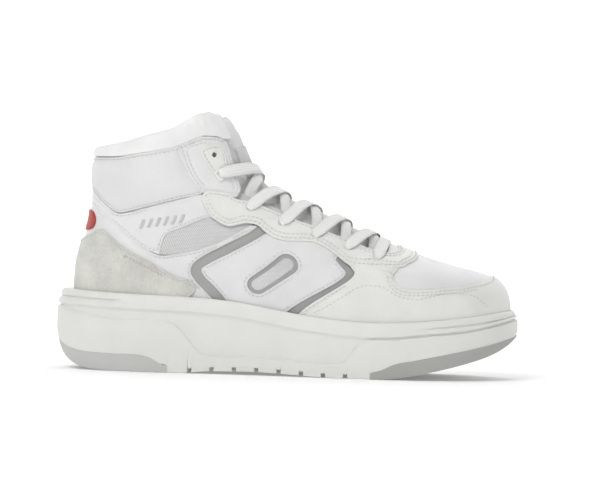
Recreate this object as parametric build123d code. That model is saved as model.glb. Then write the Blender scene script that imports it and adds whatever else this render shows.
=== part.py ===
from build123d import *
import math
import os
import numpy as np

# A right-foot basketball high top. Millimetres, +X towards the toe, +Z up, +Y towards the medial side.
# The design frame has its zero at the back of the heel. skin() moves it to the row frame, whose origin is
# the middle of the footprint on the ground.

# Driving sizes
LENGTH = 300.0  # outsole, heel to toe: EU 42
WALL = 2.9  # from the upper's form to the cup's inner wall
BED = 11.9  # the upper is lasted this far below the rim of the cup
LINING = (-3.1, -2.0)  # depths below and above the upper's form, along its normal
BACKER = (-1.7, -0.2)
PANEL = (0.0, 1.1)
OVERLAY = (1.3, 2.4)
SUEDE = (1.3, 2.6)
BADGE = (1.3, 2.0)
COLLAR_PAD = 5.5  # extra depth of the padded collar
TONGUE_GAP = 5.2  # the tongue's face lies this deep under the eyestays
EYELET_R = 2.3
LACE_W, LACE_T = 8.0, 1.2
LATERAL, MEDIAL = -1, 1
SIDES = {"lateral": LATERAL, "medial": MEDIAL}


def spline(xs, ys, x):
    """Natural cubic spline through (xs, ys), where ys may hold one column for each x."""
    xs, ys, x = np.asarray(xs, float), np.asarray(ys, float), np.asarray(x, float)
    n, h = len(xs), np.diff(xs)
    a = np.eye(n)
    r = np.zeros_like(ys)
    for i in range(1, n - 1):
        a[i, i - 1 : i + 2] = h[i - 1], 2 * (h[i - 1] + h[i]), h[i]
        r[i] = 6 * ((ys[i + 1] - ys[i]) / h[i] - (ys[i] - ys[i - 1]) / h[i - 1])
    m = np.linalg.solve(a, r)
    k = np.clip(np.searchsorted(xs, x) - 1, 0, n - 2)
    if ys.ndim == 2:
        row = np.arange(len(x))
        y0, y1, m0, m1 = ys[k, row], ys[k + 1, row], m[k, row], m[k + 1, row]
    else:
        y0, y1, m0, m1 = ys[k], ys[k + 1], m[k], m[k + 1]
    t0, t1 = x - xs[k], xs[k + 1] - x
    bend = (m0 * t1**3 + m1 * t0**3) / (6 * h[k])
    return bend + (y0 / h[k] - m0 * h[k] / 6) * t1 + (y1 / h[k] - m1 * h[k] / 6) * t0


def line(points, x):
    """Straight runs through (x, z) points."""
    p = np.array(points, float)
    return np.interp(x, p[:, 0], p[:, 1])


def curve(points, x):
    """A smooth curve through (x, z) points that never swings past them, level past its ends."""
    xs, ys = np.array(points, float).T
    h, d = np.diff(xs), np.diff(ys) / np.diff(xs)
    m = np.concatenate([[d[0]], np.zeros(len(d) - 1), [d[-1]]])
    for i in range(1, len(d)):
        if d[i - 1] * d[i] > 0:
            w0, w1 = 2 * h[i] + h[i - 1], h[i] + 2 * h[i - 1]
            m[i] = (w0 + w1) / (w0 / d[i - 1] + w1 / d[i])
    x = np.clip(x, xs[0], xs[-1])
    k = np.clip(np.searchsorted(xs, x) - 1, 0, len(h) - 1)
    s = (x - xs[k]) / h[k]
    ends = ys[k] * (1 + 2 * s) * (1 - s) ** 2 + ys[k + 1] * (3 - 2 * s) * s**2
    return ends + h[k] * s * (1 - s) * (m[k] * (1 - s) - m[k + 1] * s)


def step(x, start, end):
    """0 before start, 1 after end, smooth between."""
    s = np.clip((np.asarray(x, float) - start) / (end - start), 0, 1)
    return s * s * (3 - 2 * s)


# The form of the upper: level outlines between a heel line of (z, x) and a front line of (x, z)
HEEL_LINE = [(20, 12.5), (57, 12.6), (66, 13), (74, 14.2), (82, 16.2), (90, 18.6), (98, 21), (106, 22.6),
             (118, 23.8), (130, 24.2), (142, 24.5), (175, 25)]
FRONT_LINE = [(292.5, 20), (292.8, 40), (292.3, 50), (290.6, 56), (286.5, 62), (279, 66.5), (268, 69.6),
              (254, 73), (240, 77), (226, 81.6), (212, 87), (198, 93), (184, 99.3), (170, 105.3), (156, 110.8),
              (143, 117), (134, 124.5), (128.5, 134), (124, 145), (119.5, 157), (115, 168), (112, 176)]
GIRTH_LEVELS = [42, 62, 75, 90, 110, 130, 175]
GIRTH_SHARES = [0, 0.15, 0.35, 0.6, 0.8, 0.93, 1]
GIRTH = [[56, 45.5, 35.5, 42, 55.5, 61.5, 62], [52, 44, 35, 41, 53.5, 60.5, 59],
         [48, 42, 34.5, 38, 46.5, 48, 45], [44, 39.5, 33.5, 34.5, 38.5, 40, 39],
         [41, 38, 33, 31.5, 31, 28.5, 27], [41, 37.5, 34, 32.5, 32, 32, 32],
         [42, 38.5, 36, 35, 35.5, 36, 36]]
CENTRE = [(0, 0), (60, -0.5), (110, -2), (160, -0.5), (200, 2.5), (250, 6.5), (300, 9.5)]  # x, y

_f = np.array(FRONT_LINE, float)
_s = np.concatenate([[0], np.cumsum(np.hypot(*np.diff(_f, axis=0).T))])
_dense = np.linspace(0, _s[-1], 1500)
RIDGE_X, RIDGE_Z = spline(_s, _f[:, 0], _dense), spline(_s, _f[:, 1], _dense)


def heel_x(z):
    return curve(HEEL_LINE, z)


def front_x(z):
    return np.interp(z, RIDGE_Z, RIDGE_X)


def girth(z, p):
    """Half width over sin t. The form stands upright below 42 mm, and the soft step there keeps it smooth."""
    rows = np.array([spline(GIRTH_SHARES, g, p) for g in GIRTH])
    return spline(GIRTH_LEVELS, rows, np.minimum(42 + 6 * np.log1p(np.exp((z - 42) / 6)), 175))


def form(z, t):
    """A point of the upper's form, at height z and angle t round the foot: 0 at the heel, pi at the toe."""
    p = (1 - np.cos(t)) / 2
    back = heel_x(z)
    x = back + (front_x(z) - back) * p
    return np.stack([x, curve(CENTRE, x) + np.sin(t) * girth(z, p), z], -1)


def around(z, x, side):
    """The angle t of the point at x on one side, at height z."""
    back = heel_x(z)
    p = np.clip((x - back) / (front_x(z) - back), 0, 1)
    return side * np.maximum(np.arccos(1 - 2 * p), 0.006)


def skin(z, t, depth):
    """Points at a depth along the form's outward normal, in the row frame."""
    z, t = np.broadcast_arrays(np.asarray(z, float), np.asarray(t, float))
    shape = z.shape
    z, t = z.ravel(), t.ravel()
    e = 0.05
    up = form(z + e, t) - form(z - e, t)
    along = form(z, t + e) - form(z, t - e)
    n = np.cross(up, along)
    n /= np.linalg.norm(n, axis=1)[:, None]
    p = form(z, t) + n * np.broadcast_to(depth, shape).reshape(-1, 1)
    return (p - ORIGIN).reshape(*shape, 3)


# The cupsole's outline and side lines
SOLE_SHARES = [0, 0.05, 0.15, 0.25, 0.4, 0.55, 0.667, 0.75, 0.833, 0.917, 1]
SOLE_GIRTH = [66, 62.5, 56.5, 48, 41, 46.5, 55.3, 62.2, 67.5, 71, 72]
RIM = [(-6, 51.5), (12, 51.2), (27, 50.6), (58, 49.8), (89, 49), (110, 47.6), (130, 44.8), (151, 41.2),
       (167, 39), (188, 36.9), (210, 36.2), (232, 37.2), (253, 39.2), (275, 41.8), (290, 44), (306, 46)]
GROUND = [(-6, 40), (0, 26), (3, 15), (8, 7), (16, 2.2), (28, 0.3), (45, 0), (80, 0), (102, 1.6), (128, 2),
          (152, 1.2), (178, 0), (212, 0), (230, 2.2), (243, 5), (264, 10.3), (280, 15.6), (290, 20.2),
          (297, 26.5), (301, 34), (306, 44)]
HEEL_PAD_EDGE = [(-6, 23), (3, 17.5), (9, 14), (20, 11.8), (40, 11.1), (56, 10.9), (63, 9), (68.5, 6),
                 (73.8, 4.8)]
TOE_PAD_EDGE = [(204.8, 4), (212, 6), (220, 9.8), (232, 12.4), (253, 16.8), (275, 21.6), (290, 25.6),
                (306, 31)]
FLOOR = [(-6, 18), (10, 15.2), (25, 12.2), (60, 11.8), (110, 11), (150, 10.6), (200, 9.2), (212, 9.6),
         (222, 12.4), (243, 16.6), (264, 21.4), (280, 25.6), (288, 28), (306, 29)]
GROOVE_START, GROOVE_PITCH, GROOVE_COUNT, GROOVE_W, GROOVE_H = 88.2, 14.35, 9, 2.6, 2.8


def sole_outline(t, inset):
    p = (1 - np.cos(t)) / 2
    x = LENGTH * p
    xy = np.stack([x, curve(CENTRE, x) + np.sin(t) * spline(SOLE_SHARES, SOLE_GIRTH, p)], -1)
    e = np.roll(xy, -1, 0) - np.roll(xy, 1, 0)
    n = np.stack([-e[:, 1], e[:, 0]], -1) / np.linalg.norm(e, axis=1)[:, None]
    return xy - n * inset


def form_outline(t, out):
    xyz = form(np.full_like(t, 28.0), t)[:, :2]
    e = np.roll(xyz, -1, 0) - np.roll(xyz, 1, 0)
    n = np.stack([-e[:, 1], e[:, 0]], -1) / np.linalg.norm(e, axis=1)[:, None]
    return xyz + n * out


_round = np.linspace(0, 2 * np.pi, 400, endpoint=False)
_edge = sole_outline(_round, 0.0)
ORIGIN = np.array([LENGTH / 2, (_edge[:, 1].min() + _edge[:, 1].max()) / 2, 0.0])


def plan_wire(outline, offset, z):
    t = np.linspace(0, 2 * np.pi, 200, endpoint=False)
    xy = (outline(t, offset) - ORIGIN[:2])[::5]
    return Wire([Edge.make_spline([Vector(float(a), float(b), z) for a, b in xy], periodic=True)])


def plan_prism(outline, offsets):
    """A solid through level outlines: offsets holds (z, offset) from the bottom up."""
    (z0, first), (z1, last) = offsets[0], offsets[-1]
    if len(offsets) == 2 and first == last:
        return extrude(Face(plan_wire(outline, first, z0)), amount=z1 - z0, dir=(0, 0, 1))
    return Solid.make_loft([plan_wire(outline, offset, z) for z, offset in offsets])


def side_prism(low, high, half_width=80.0):
    """Everything between two side lines, across the whole width. Each line is a list of runs of (x, z)
    points. A run of two points is straight and a longer one is a smooth curve."""

    def edges(runs):
        at = [[Vector(x - ORIGIN[0], -half_width, z) for x, z in run] for run in runs]
        return [Edge.make_line(*run) if len(run) == 2 else Edge.make_spline(run) for run in at], at

    (below, low_at), (above, high_at) = edges(low), edges(high)
    ends = [Edge.make_line(low_at[i][i], high_at[i][i]) for i in (0, -1)]
    return extrude(Face(Wire(below + above + ends)), amount=2 * half_width, dir=(0, 1, 0))


def sampled(points, raise_by=0.0, n=13, x_to=None):
    """One smooth run along a side line."""
    x = np.linspace(points[0][0], x_to or points[-1][0], n)
    return [[(float(a), float(b)) for a, b in zip(x, curve(points, x) + raise_by)]]


def ground_runs(raise_by=0.0, points=9):
    """The ground line: flat under the heel and the ball, raised at the heel's edge, the waist and the toe."""
    runs = []
    for a, b, n in ((-6, 45, points), (45, 80, 2), (80, 178, points), (178, 212, 2), (212, 306, points)):
        x = np.linspace(a, b, n)
        runs.append([(float(u), float(v)) for u, v in zip(x, curve(GROUND, x) + raise_by)])
    return runs


def first_solid(shape):
    return max(shape.solids(), key=lambda s: s.volume)


def patch(outer, inner):
    """A thin curved solid between two grids of points with the same layout."""
    faces, borders = [], []
    for grid in (outer, inner):
        points = [[Vector(*map(float, p)) for p in row] for row in grid]
        face = Face.make_surface_from_array_of_points(points, tol=0.05)
        ends = [grid[0], grid[-1], grid[:, 0], grid[:, -1]]
        found = []
        for want in ends:
            middle = Vector(*map(float, want[len(want) // 2]))
            found.append(min(face.edges(), key=lambda e: e.distance_to(middle)))
        faces.append(face)
        borders.append(found)
    for a, b in zip(*borders):
        faces.append(Face.make_surface_from_curves(a, b))
    solid = Solid(Shell(faces))
    return solid if solid.volume > 0 else Solid(Shell(faces[::-1]))


def plate(z, t, span, pad=None):
    """A panel over a grid of z and t, between two depths. pad deepens both."""
    deep = 0 if pad is None else pad
    return patch(skin(z, t, span[1] - deep), skin(z, t, span[0] - deep))


def rim_z(x):
    return curve(RIM, x)


def low_z(x):
    """The lasted lower edge of the upper, just above the board."""
    return rim_z(x) - BED


# Lines on the upper, as (x, z) seen from the side
COLLAR_SEAM = [(18, 140), (28, 140.4), (38, 140.9), (48, 142.8), (60, 145), (70, 147), (79, 150), (88, 153.6),
               (96, 156), (102, 156), (107, 154)]
BAND_TOP = [(18, 117.5), (24, 115.5), (30, 110), (36, 106), (41, 104.2), (52, 106), (69, 110.6), (86, 116.2),
            (100, 120.4)]
BAND_LOW = [(18, 110.5), (23.5, 107.5), (35, 98.6), (48, 88.5), (57, 83), (63, 83.6), (70, 91), (86, 97),
            (104, 103.4)]
REAR_TOP = [(56, 82.2), (62, 80.2), (70, 79.8), (78, 80.8), (94, 87), (107, 91.6), (120, 97), (134, 100)]
REAR_LOW = [(56, 76.4), (64, 72.4), (74, 67.4), (82, 64.6), (87, 67.5), (92, 75), (100, 80), (134, 98.6)]
SUEDE_TOP = [(14, 87.5), (20, 91), (26, 94.2), (34, 90.3), (45.5, 82.5), (56, 75.8), (71, 68.1), (84, 61.5),
             (92, 57.8)]
EYESTAY_LOW = [(94.8, 114), (100.4, 105.3), (107, 101), (113, 98.8), (118, 99.7), (124, 101), (130, 100.2),
               (136, 96.2), (143, 92.2), (150, 90.6), (166, 90.2), (173, 87.4), (181, 82), (188, 76.8),
               (193, 75), (215, 74.4), (227, 74.8)]
EYESTAY_HIGH = [(94.8, 121), (104, 120.8), (112, 119), (117, 115.6), (126, 113.8), (147, 105.8), (168, 98.6),
                (188, 91.2), (208, 84), (222, 79.8), (227, 78.4)]
MESH_TOP = [(69, 90), (86, 96.6), (107, 103.6)]
FLAP_LOW = [(78, 121), (103, 121.6), (118, 118.6)]
CENTRE_TOP = [(136, 91), (150, 91), (166, 90), (181, 82), (189, 76)]
UNDERLAY_TOP = [(76, 66), (90, 78), (112, 90), (140, 92), (166, 90), (200, 72)]
THROAT_FRONT = 219.0  # the throat's closed end
HOOD_FRONT = 233.0  # the front of the piece that joins the eyestays
EYELETS = [(101.7, 143.5), (106.2, 132.5), (126, 110.3), (147, 101.3), (168, 94), (188, 86.6), (207, 80.2)]
WINDOW_AT, WINDOW_SIZE = (139, 67), (13, 24)
MUDGUARD_TOP = [(150, 72), (196, 73), (206, 72), (217, 66.5), (228, 60.8), (246.6, 60.4), (260, 61.6), (274, 63.4),
                (284, 64.6), (296, 65)]


def following(points, raise_by=0.0):
    """A function that gives z on a side line for x."""
    return lambda x: curve(points, x) + raise_by


def level(z):
    return lambda x: z + 0 * x


def leaning(foot, head):
    """A function that gives x on a straight seam for a height share."""
    return lambda v: foot + v * (head - foot)


def wrap_grid(x_end, low, high, rows=9, columns=25, toe=False):
    """z and t for a piece that wraps the heel or the toe evenly, out to x_end on both sides."""
    v = np.linspace(0, 1, rows)[:, None] * np.ones((1, columns))
    u = np.linspace(-1, 1, columns)[None, :]
    ends = np.array([x_end(s) for s in np.linspace(0, 1, rows)])[:, None]
    z = low(ends) + v * (high(ends) - low(ends)) + 0 * u
    for _ in range(6):
        reach = np.abs(around(z, ends + 0 * u, 1))
        t = np.pi + u * (np.pi - reach) if toe else u * reach
        x = form(z.ravel(), t.ravel())[:, 0].reshape(z.shape)
        z = low(x) + v * (high(x) - low(x))
    return z, t


def pad_depth(z, t):
    """Extra depth of the lining behind the padded collar."""
    x = form(z.ravel(), t.ravel())[:, 0].reshape(z.shape)
    return COLLAR_PAD * step(z, 100, 128) * (1 - step(x, 76, 98))


def side_panel(side, rear, front, low, high, span, rows=9, columns=15):
    """A four-sided piece: rear(v) and front(v) give x at height share v, low(x) and high(x) give z."""
    v = np.linspace(0, 1, rows)[:, None]
    u = np.linspace(0, 1, columns)[None, :]
    x = rear(v) + u * (front(v) - rear(v))
    z = low(x) + v * (high(x) - low(x))
    return plate(z, around(z, x, side), span)


# ---------------------------------------------------------------- sole unit
def sole_unit():
    blank = plan_prism(sole_outline, [(-1, 3.2), (6, 1.2), (14, 0), (34, 0), (60, 0.6)])
    blank = first_solid(blank & side_prism(ground_runs(), sampled(RIM)))
    heel_region = side_prism([[(HEEL_PAD_EDGE[0][0], -4), (HEEL_PAD_EDGE[-1][0], -4)]], [HEEL_PAD_EDGE])
    toe_region = side_prism([[(TOE_PAD_EDGE[0][0], -4), (TOE_PAD_EDGE[-1][0], -4)]], [TOE_PAD_EDGE])
    cavity = plan_prism(form_outline, [(-2, WALL), (62, WALL)])
    cavity = cavity & side_prism(sampled(FLOOR, n=25), sampled(RIM, 20))
    cup = blank - heel_region - toe_region - cavity
    bar = Box(GROOVE_W, 140, GROOVE_H + 3)
    starts = [GROOVE_START + i * GROOVE_PITCH - ORIGIN[0] for i in range(GROOVE_COUNT)]
    cup = first_solid(cup - [Pos(x, 0, GROOVE_H / 2 - 0.5) * bar for x in starts])
    core = plan_prism(form_outline, [(-2, WALL - 0.5), (62, WALL - 0.5)])
    foam = core & side_prism(sampled(FLOOR, 0.3, 25, x_to=290), sampled(RIM, -BED - 2.6, x_to=290))
    board = core & side_prism(sampled(RIM, -BED - 2.5), sampled(RIM, -BED - 0.6))
    bed = plan_prism(form_outline, [(-2, LINING[0] - 0.6), (62, LINING[0] - 0.6)])
    sockliner = bed & side_prism(sampled(RIM, -BED), sampled(RIM, -BED + 5.4))
    return {
        "midsole_cup": cup,
        "outsole_heel_pad": first_solid(blank & heel_region),
        "outsole_toe_pad": first_solid(blank & toe_region),
        "midsole_foam_core": first_solid(foam),
        "strobel_board": first_solid(board),
        "sockliner": first_solid(sockliner),
    }


# ---------------------------------------------------------------- toe
TOE_REAR = 228.0


def ridge_points(x_from, z_to, n):
    """n points evenly along the middle line, from x_from forward and down to z_to."""
    k0 = np.searchsorted(-RIDGE_X[90:], -x_from) + 90
    k1 = np.searchsorted(RIDGE_Z, z_to)
    k = np.linspace(k0, k1, n)
    return np.interp(k, np.arange(len(RIDGE_X)), RIDGE_X), np.interp(k, np.arange(len(RIDGE_Z)), RIDGE_Z)


def dome_grid(x_from, z_to, foot_x, foot_z, rows=21, columns=33):
    """z and t over the toe box. Rows run forward along the middle line, columns from foot line to foot line."""
    _, top_z = ridge_points(x_from, z_to, rows)
    share = np.linspace(0, 1, rows)
    fx = np.interp(share, np.linspace(0, 1, len(foot_x)), foot_x)
    fz = np.interp(share, np.linspace(0, 1, len(foot_z)), foot_z)
    w = np.linspace(-1, 1, columns)[None, :]
    z = top_z[:, None] + (fz - top_z)[:, None] * w**2
    return z, np.pi + w * (np.pi - around(fz, fx, 1))[:, None]


def toe_pieces():
    mudguard = wrap_grid(leaning(160, 194), low_z, following(MUDGUARD_TOP), rows=11, columns=61, toe=True)
    hood = dome_grid(THROAT_FRONT, 79, [THROAT_FRONT, HOOD_FRONT], [75, 75.4], rows=9)
    return {
        "mudguard": plate(*mudguard, OVERLAY),
        "vamp": plate(*dome_grid(TOE_REAR, 58, [TOE_REAR, 262], [54, 53]), PANEL),
        "toe_puff": plate(*dome_grid(244, 36, [244, 276], [46, 40]), BACKER),
        "toe_lining": plate(*dome_grid(TOE_REAR, 36, [TOE_REAR, 272], [28, 34], rows=25), LINING),
        "eyestay_front": plate(*hood, OVERLAY),
    }


# ---------------------------------------------------------------- quarters, collar and heel
QUARTER_TOP = [(0, 96), (150, 96), (162, 95.8), (178, 92.6), (200, 84.8), (216, 79), (TOE_REAR, 75)]
THROAT_LINE = [(109, 152), (113, 135), (116.5, 121), (121, 117.4), (130, 114), (142, 109.4), (162, 96.4)]


def eyelet_cuts(side, names):
    """Punches through the layers, along the form's normal at each eyelet."""
    cuts = []
    for i in names:
        x, z = EYELETS[i]
        t = around(np.array(z), np.array(x), side)
        a, b = skin(z, t, -9.0), skin(z, t, 7.0)
        axis = Vector(*(b - a).tolist())
        cuts.append(Solid.make_cylinder(EYELET_R, axis.length, Plane(origin=Vector(*a.tolist()), z_dir=axis)))
    return cuts


def quarter_pieces(side):
    v = np.linspace(0, 1, 11)[:, None]
    u = np.linspace(0, 1, 45)[None, :]
    top, seam = following(QUARTER_TOP), following(COLLAR_SEAM, -0.8)
    xs = TOE_REAR * u**1.6 + 0 * v
    for _ in range(4):
        z = low_z(xs) + v * (top(xs) - low_z(xs))
        xs = heel_x(z) + (TOE_REAR - 0.4 - heel_x(z)) * u**1.6
    quarter_lining = plate(z, around(z, xs, side), LINING)

    front = curve([(z, x) for x, z in reversed(THROAT_LINE)], 96.4 + v * 55)
    xs = 100 + 0 * u * v
    for _ in range(4):
        z = 96.4 + v * (seam(xs) - 96.4)
        xs = heel_x(z) + (front - heel_x(z)) * u**1.5
    t = around(z, xs, side)
    ankle_lining = plate(z, t, LINING, pad_depth(z, t))

    u = np.linspace(0, 1, 25)[None, :]
    xs = 60 + 0 * u * v
    for _ in range(4):
        z = 104 + v * (seam(xs) - 104)
        xs = heel_x(z) + (92 - heel_x(z)) * u**1.5
    t = around(z, xs, side)
    foam = patch(skin(z, t, BACKER[1]), skin(z, t, BACKER[0] - pad_depth(z, t)))

    linings = {"quarter_lining": quarter_lining - eyelet_cuts(side, range(3, 7)),
               "ankle_lining": ankle_lining - eyelet_cuts(side, range(0, 4))}
    return {**linings, "collar_foam": foam}


def heel_panel(side, low, high, front, span, columns=27, rows=9):
    """A side panel that starts on the heel's middle line. front(v) gives x where it ends."""
    v = np.linspace(0, 1, rows)[:, None]
    u = np.linspace(0, 1, columns)[None, :]
    xs = 60 + 0 * u * v
    for _ in range(5):
        z = low(xs) + v * (high(xs) - low(xs))
        xs = heel_x(z) + (front(v) - heel_x(z)) * u**1.5
    return plate(z, around(z, xs, side), span)


def shell_panels(side):
    """The outer leather, mesh and textile on one side."""
    under_roll, rear_seam = following(COLLAR_SEAM, -0.8), leaning(97.4, 78.6)
    collar = heel_panel(side, following(BAND_TOP, 0.4), under_roll, leaning(96.9, 78.1), PANEL)
    band = heel_panel(side, following(BAND_LOW, 0.3), following(BAND_TOP), leaning(103, 98), PANEL, columns=31)
    flap = side_panel(side, rear_seam, leaning(117.6, 108.6), following(FLAP_LOW), under_roll, PANEL, 11, 13)
    mesh = side_panel(side, leaning(69, 69), leaning(122, 107), following(REAR_TOP, 0.2), following(MESH_TOP),
                      (-1.5, -0.2))
    rear = side_panel(side, leaning(62, 62), leaning(130, 130), following(REAR_LOW), following(REAR_TOP), PANEL,
                      7, 31)
    centre = side_panel(side, leaning(105, 141), leaning(150, 184), low_z, following(CENTRE_TOP), PANEL, 15, 17)
    underlay = side_panel(side, leaning(76, 80), leaning(200, 196), low_z, following(UNDERLAY_TOP), BACKER,
                          13, 31)
    eyestay = side_panel(side, leaning(95, 95), leaning(THROAT_FRONT - 0.4, THROAT_FRONT - 0.4),
                         following(EYESTAY_LOW), following(EYESTAY_HIGH), OVERLAY, 9, 45)
    reinforcement = side_panel(side, leaning(98.5, 93), leaning(111, 107), level(126.5), level(148), OVERLAY,
                               7, 7)
    opening = patch(*(skin(*window_grid(side), d) for d in (3.0, -1.2)))
    return {
        "collar_panel": collar,
        "ankle_band": band,
        "ankle_flap": flap - eyelet_cuts(side, (0, 1)),
        "mesh_insert": mesh,
        "quarter_rear": rear,
        "quarter_centre": first_solid(centre - opening),
        "side_underlay": underlay,
        "eyestay": eyestay - eyelet_cuts(side, range(2, 7)),
        "eyelet_patch": reinforcement - eyelet_cuts(side, (0, 1)),
    }


def window_grid(side):
    """z and t over the slanted window in the centre panel."""
    v = np.linspace(-1, 1, 5)[:, None]
    u = np.linspace(-1, 1, 5)[None, :]
    x = WINDOW_AT[0] + 0.5 * WINDOW_SIZE[1] * v * 0.72 + 0.5 * WINDOW_SIZE[0] * u
    z = WINDOW_AT[1] + 0.5 * WINDOW_SIZE[1] * v * 0.7 + 0.1 * WINDOW_SIZE[0] * u
    return z, around(z, x, side)


def heel_pieces():
    suede = wrap_grid(leaning(92, 88), low_z, following(SUEDE_TOP), rows=13, columns=49)
    tab = wrap_grid(leaning(61.4, 61.4), following(SUEDE_TOP, -5), following(BAND_LOW), columns=41)
    counter = wrap_grid(leaning(66, 66), low_z, leaning(88, 87.8), rows=13, columns=41)
    badge = wrap_grid(leaning(28, 28), level(96.6), level(105), rows=5, columns=15)
    return {
        "heel_overlay": plate(*suede, SUEDE),
        "heel_tab": plate(*tab, PANEL),
        "heel_counter": plate(*counter, BACKER),
        "heel_badge": plate(*badge, BADGE),
    }


# ---------------------------------------------------------------- collar roll
ROLL_RISE = [(18, 5.5), (40, 7.5), (60, 9.5), (80, 10.5), (96, 9.5), (108, 8)]


def collar_roll():
    """The padded rim over the collar seam, from flap to flap round the heel."""
    u = np.linspace(-1, 1, 61)
    t_end = float(around(np.array(152.0), np.array(107.0), 1))
    t = u * t_end
    x = form(np.full_like(t, 146.0), t)[:, 0]
    base = curve(COLLAR_SEAM, x)
    rise = curve(ROLL_RISE, x)
    depth = PANEL[1] + pad_depth(base, t) - LINING[0]
    arc = np.linspace(0, np.pi, 13)[:, None]
    out_z = base + 0.6 + rise * np.sin(arc) ** 0.75
    out_d = PANEL[1] - depth * (1 - np.cos(arc)) / 2
    outer = skin(out_z, np.broadcast_to(t, out_z.shape), out_d)
    in_z = np.broadcast_to(base + 0.3, out_z.shape)
    inner = skin(in_z, np.broadcast_to(t, out_z.shape), np.broadcast_to(out_d, out_z.shape))
    return patch(outer, inner)


# ---------------------------------------------------------------- tongue
TONGUE_TOP_Z, TONGUE_FRONT = 167.5, 226.0


def tongue_grid(rows=31, columns=21):
    """z and t over the tongue, from its stitched end at the throat up to its top edge, and its depth."""
    k0 = np.searchsorted(-RIDGE_X[90:], -TONGUE_FRONT) + 90
    k = np.linspace(k0, np.searchsorted(RIDGE_Z, TONGUE_TOP_Z), rows)
    u = np.linspace(0, 1, rows)
    top_z = np.interp(k, np.arange(len(RIDGE_Z)), RIDGE_Z)
    top_x = np.interp(k, np.arange(len(RIDGE_X)), RIDGE_X)
    drop = curve([(0, 8), (0.3, 14), (0.55, 14), (0.72, 9), (1, 2.5)], u)
    wing = curve([(0, 6), (0.3, 5), (0.55, 7), (0.72, 10), (1, 13)], u)
    w = np.linspace(-1, 1, columns)[None, :]
    z = top_z[:, None] - drop[:, None] * w**2
    t = np.pi + w * (np.pi - around(top_z - drop, top_x - wing, 1))[:, None]
    side_depth = TONGUE_GAP * step(np.abs(w), 0.05, 0.62) + 0 * z
    front_depth = TONGUE_GAP * (1 - step(u, 0.02, 0.2))[:, None]
    return z, t, np.maximum(side_depth, front_depth)


def tongue_pieces():
    z, t, deep = tongue_grid()
    thick = 4.8 - 1.6 * np.linspace(-1, 1, z.shape[1])[None, :] ** 2 + 0 * z
    face = patch(skin(z, t, -deep), skin(z, t, -deep - 1.0))
    foam = patch(skin(z, t, -deep - 1.2), skin(z, t, -deep - thick))
    lining = patch(skin(z, t, -deep - thick - 0.2), skin(z, t, -deep - thick - 0.9))
    rows, middle = slice(23, 28), slice(6, 15)
    label = patch(skin(z, t, -deep + 0.9)[rows, middle], skin(z, t, -deep + 0.15)[rows, middle])
    return {"tongue_face": face, "tongue_foam": foam, "tongue_lining": lining, "tongue_label": label}


# ---------------------------------------------------------------- laces
LACE_TOP = OVERLAY[1] + 0.2 + LACE_T / 2  # a band's middle over the eyestays
LACE_UNDER = LINING[0] - 0.2 - LACE_T / 2  # and under them
# depth of a crossing's middle along its way, from under one eyestay to the top of the other one
CROSS_LOWER = [(0, LACE_UNDER), (0.14, LACE_UNDER), (0.28, -0.8), (0.4, 1.4), (0.5, 1.6), (0.62, 1.7),
               (0.76, 2.8), (0.86, LACE_TOP), (1, LACE_TOP)]
CROSS_UPPER = [(0, LACE_UNDER), (0.14, LACE_UNDER), (0.26, 0.0), (0.38, 2.9), (0.5, 3.15), (0.62, 3.15),
               (0.76, 3.2), (0.86, LACE_TOP), (1, LACE_TOP)]
LACE_BAR = [(0, LACE_TOP), (0.2, LACE_TOP), (0.35, 2.6), (0.5, 2.0), (0.65, 2.6), (0.8, LACE_TOP), (1, LACE_TOP)]


def eyelet_at(i, side):
    x, z = EYELETS[i]
    return z, float(around(np.array(z), np.array(x), side)) % (2 * math.pi)


def nearest_ridge(i):
    """Index of the middle line's point nearest to eyelet i, seen from the side."""
    return int(np.argmin(np.hypot(RIDGE_X - EYELETS[i][0], RIDGE_Z - EYELETS[i][1])))


def lace_band(i, j, side, depths, past=2.6, n=41):
    """A flat band from eyelet i on one side, square over the instep, to eyelet j on the other."""
    (z0, t0), (z1, t1) = eyelet_at(i, side), eyelet_at(j, -side)
    crown = RIDGE_Z[(nearest_ridge(i) + nearest_ridge(j)) // 2]
    s = np.linspace(0, 1, n)
    z = z0 + (z1 - z0) * s + 4 * s * (1 - s) * (crown - (z0 + z1) / 2)
    t = t0 + (t1 - t0) * s
    d = curve(depths, s)
    middle = skin(z, t, d)
    n_out = skin(z, t, d + 1) - middle
    run = np.gradient(middle, axis=0)
    run /= np.linalg.norm(run, axis=1)[:, None]
    middle = np.vstack([middle[0] - past * run[0], middle, middle[-1] + past * run[-1]])
    n_out = np.vstack([n_out[0], n_out, n_out[-1]])
    run = np.vstack([run[0], run, run[-1]])
    cross = np.cross(n_out, run)
    cross /= np.linalg.norm(cross, axis=1)[:, None]
    w = np.linspace(-LACE_W / 2, LACE_W / 2, 3)[:, None, None]
    flat = middle[None] + w * cross[None]
    return patch(flat + n_out[None] * LACE_T / 2, flat - n_out[None] * LACE_T / 2)


def lace_plug(i, side):
    """The lace where it goes through a layer of the upper at an eyelet."""
    z, t = eyelet_at(i, side)
    a, b = (Vector(*skin(z, t, d).tolist()) for d in (LACE_UNDER, LACE_TOP))
    return Solid.make_cylinder(EYELET_R - 0.25, (b - a).length, Plane(origin=a, z_dir=b - a))


def lace():
    """A straight bar at the toe end, then crossings that pass under one eyestay and over the other one."""
    last = len(EYELETS) - 1
    bands = [lace_band(last, last, MEDIAL, LACE_BAR)]
    for i in range(last, 1, -1):
        bands.append(lace_band(i, i - 1, LATERAL, CROSS_LOWER))
        bands.append(lace_band(i, i - 1, MEDIAL, CROSS_UPPER))
    plugs = [lace_plug(i, side) for i in range(1, last + 1) for side in (LATERAL, MEDIAL)]
    return first_solid(bands[0].fuse(*bands[1:], *plugs))


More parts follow.
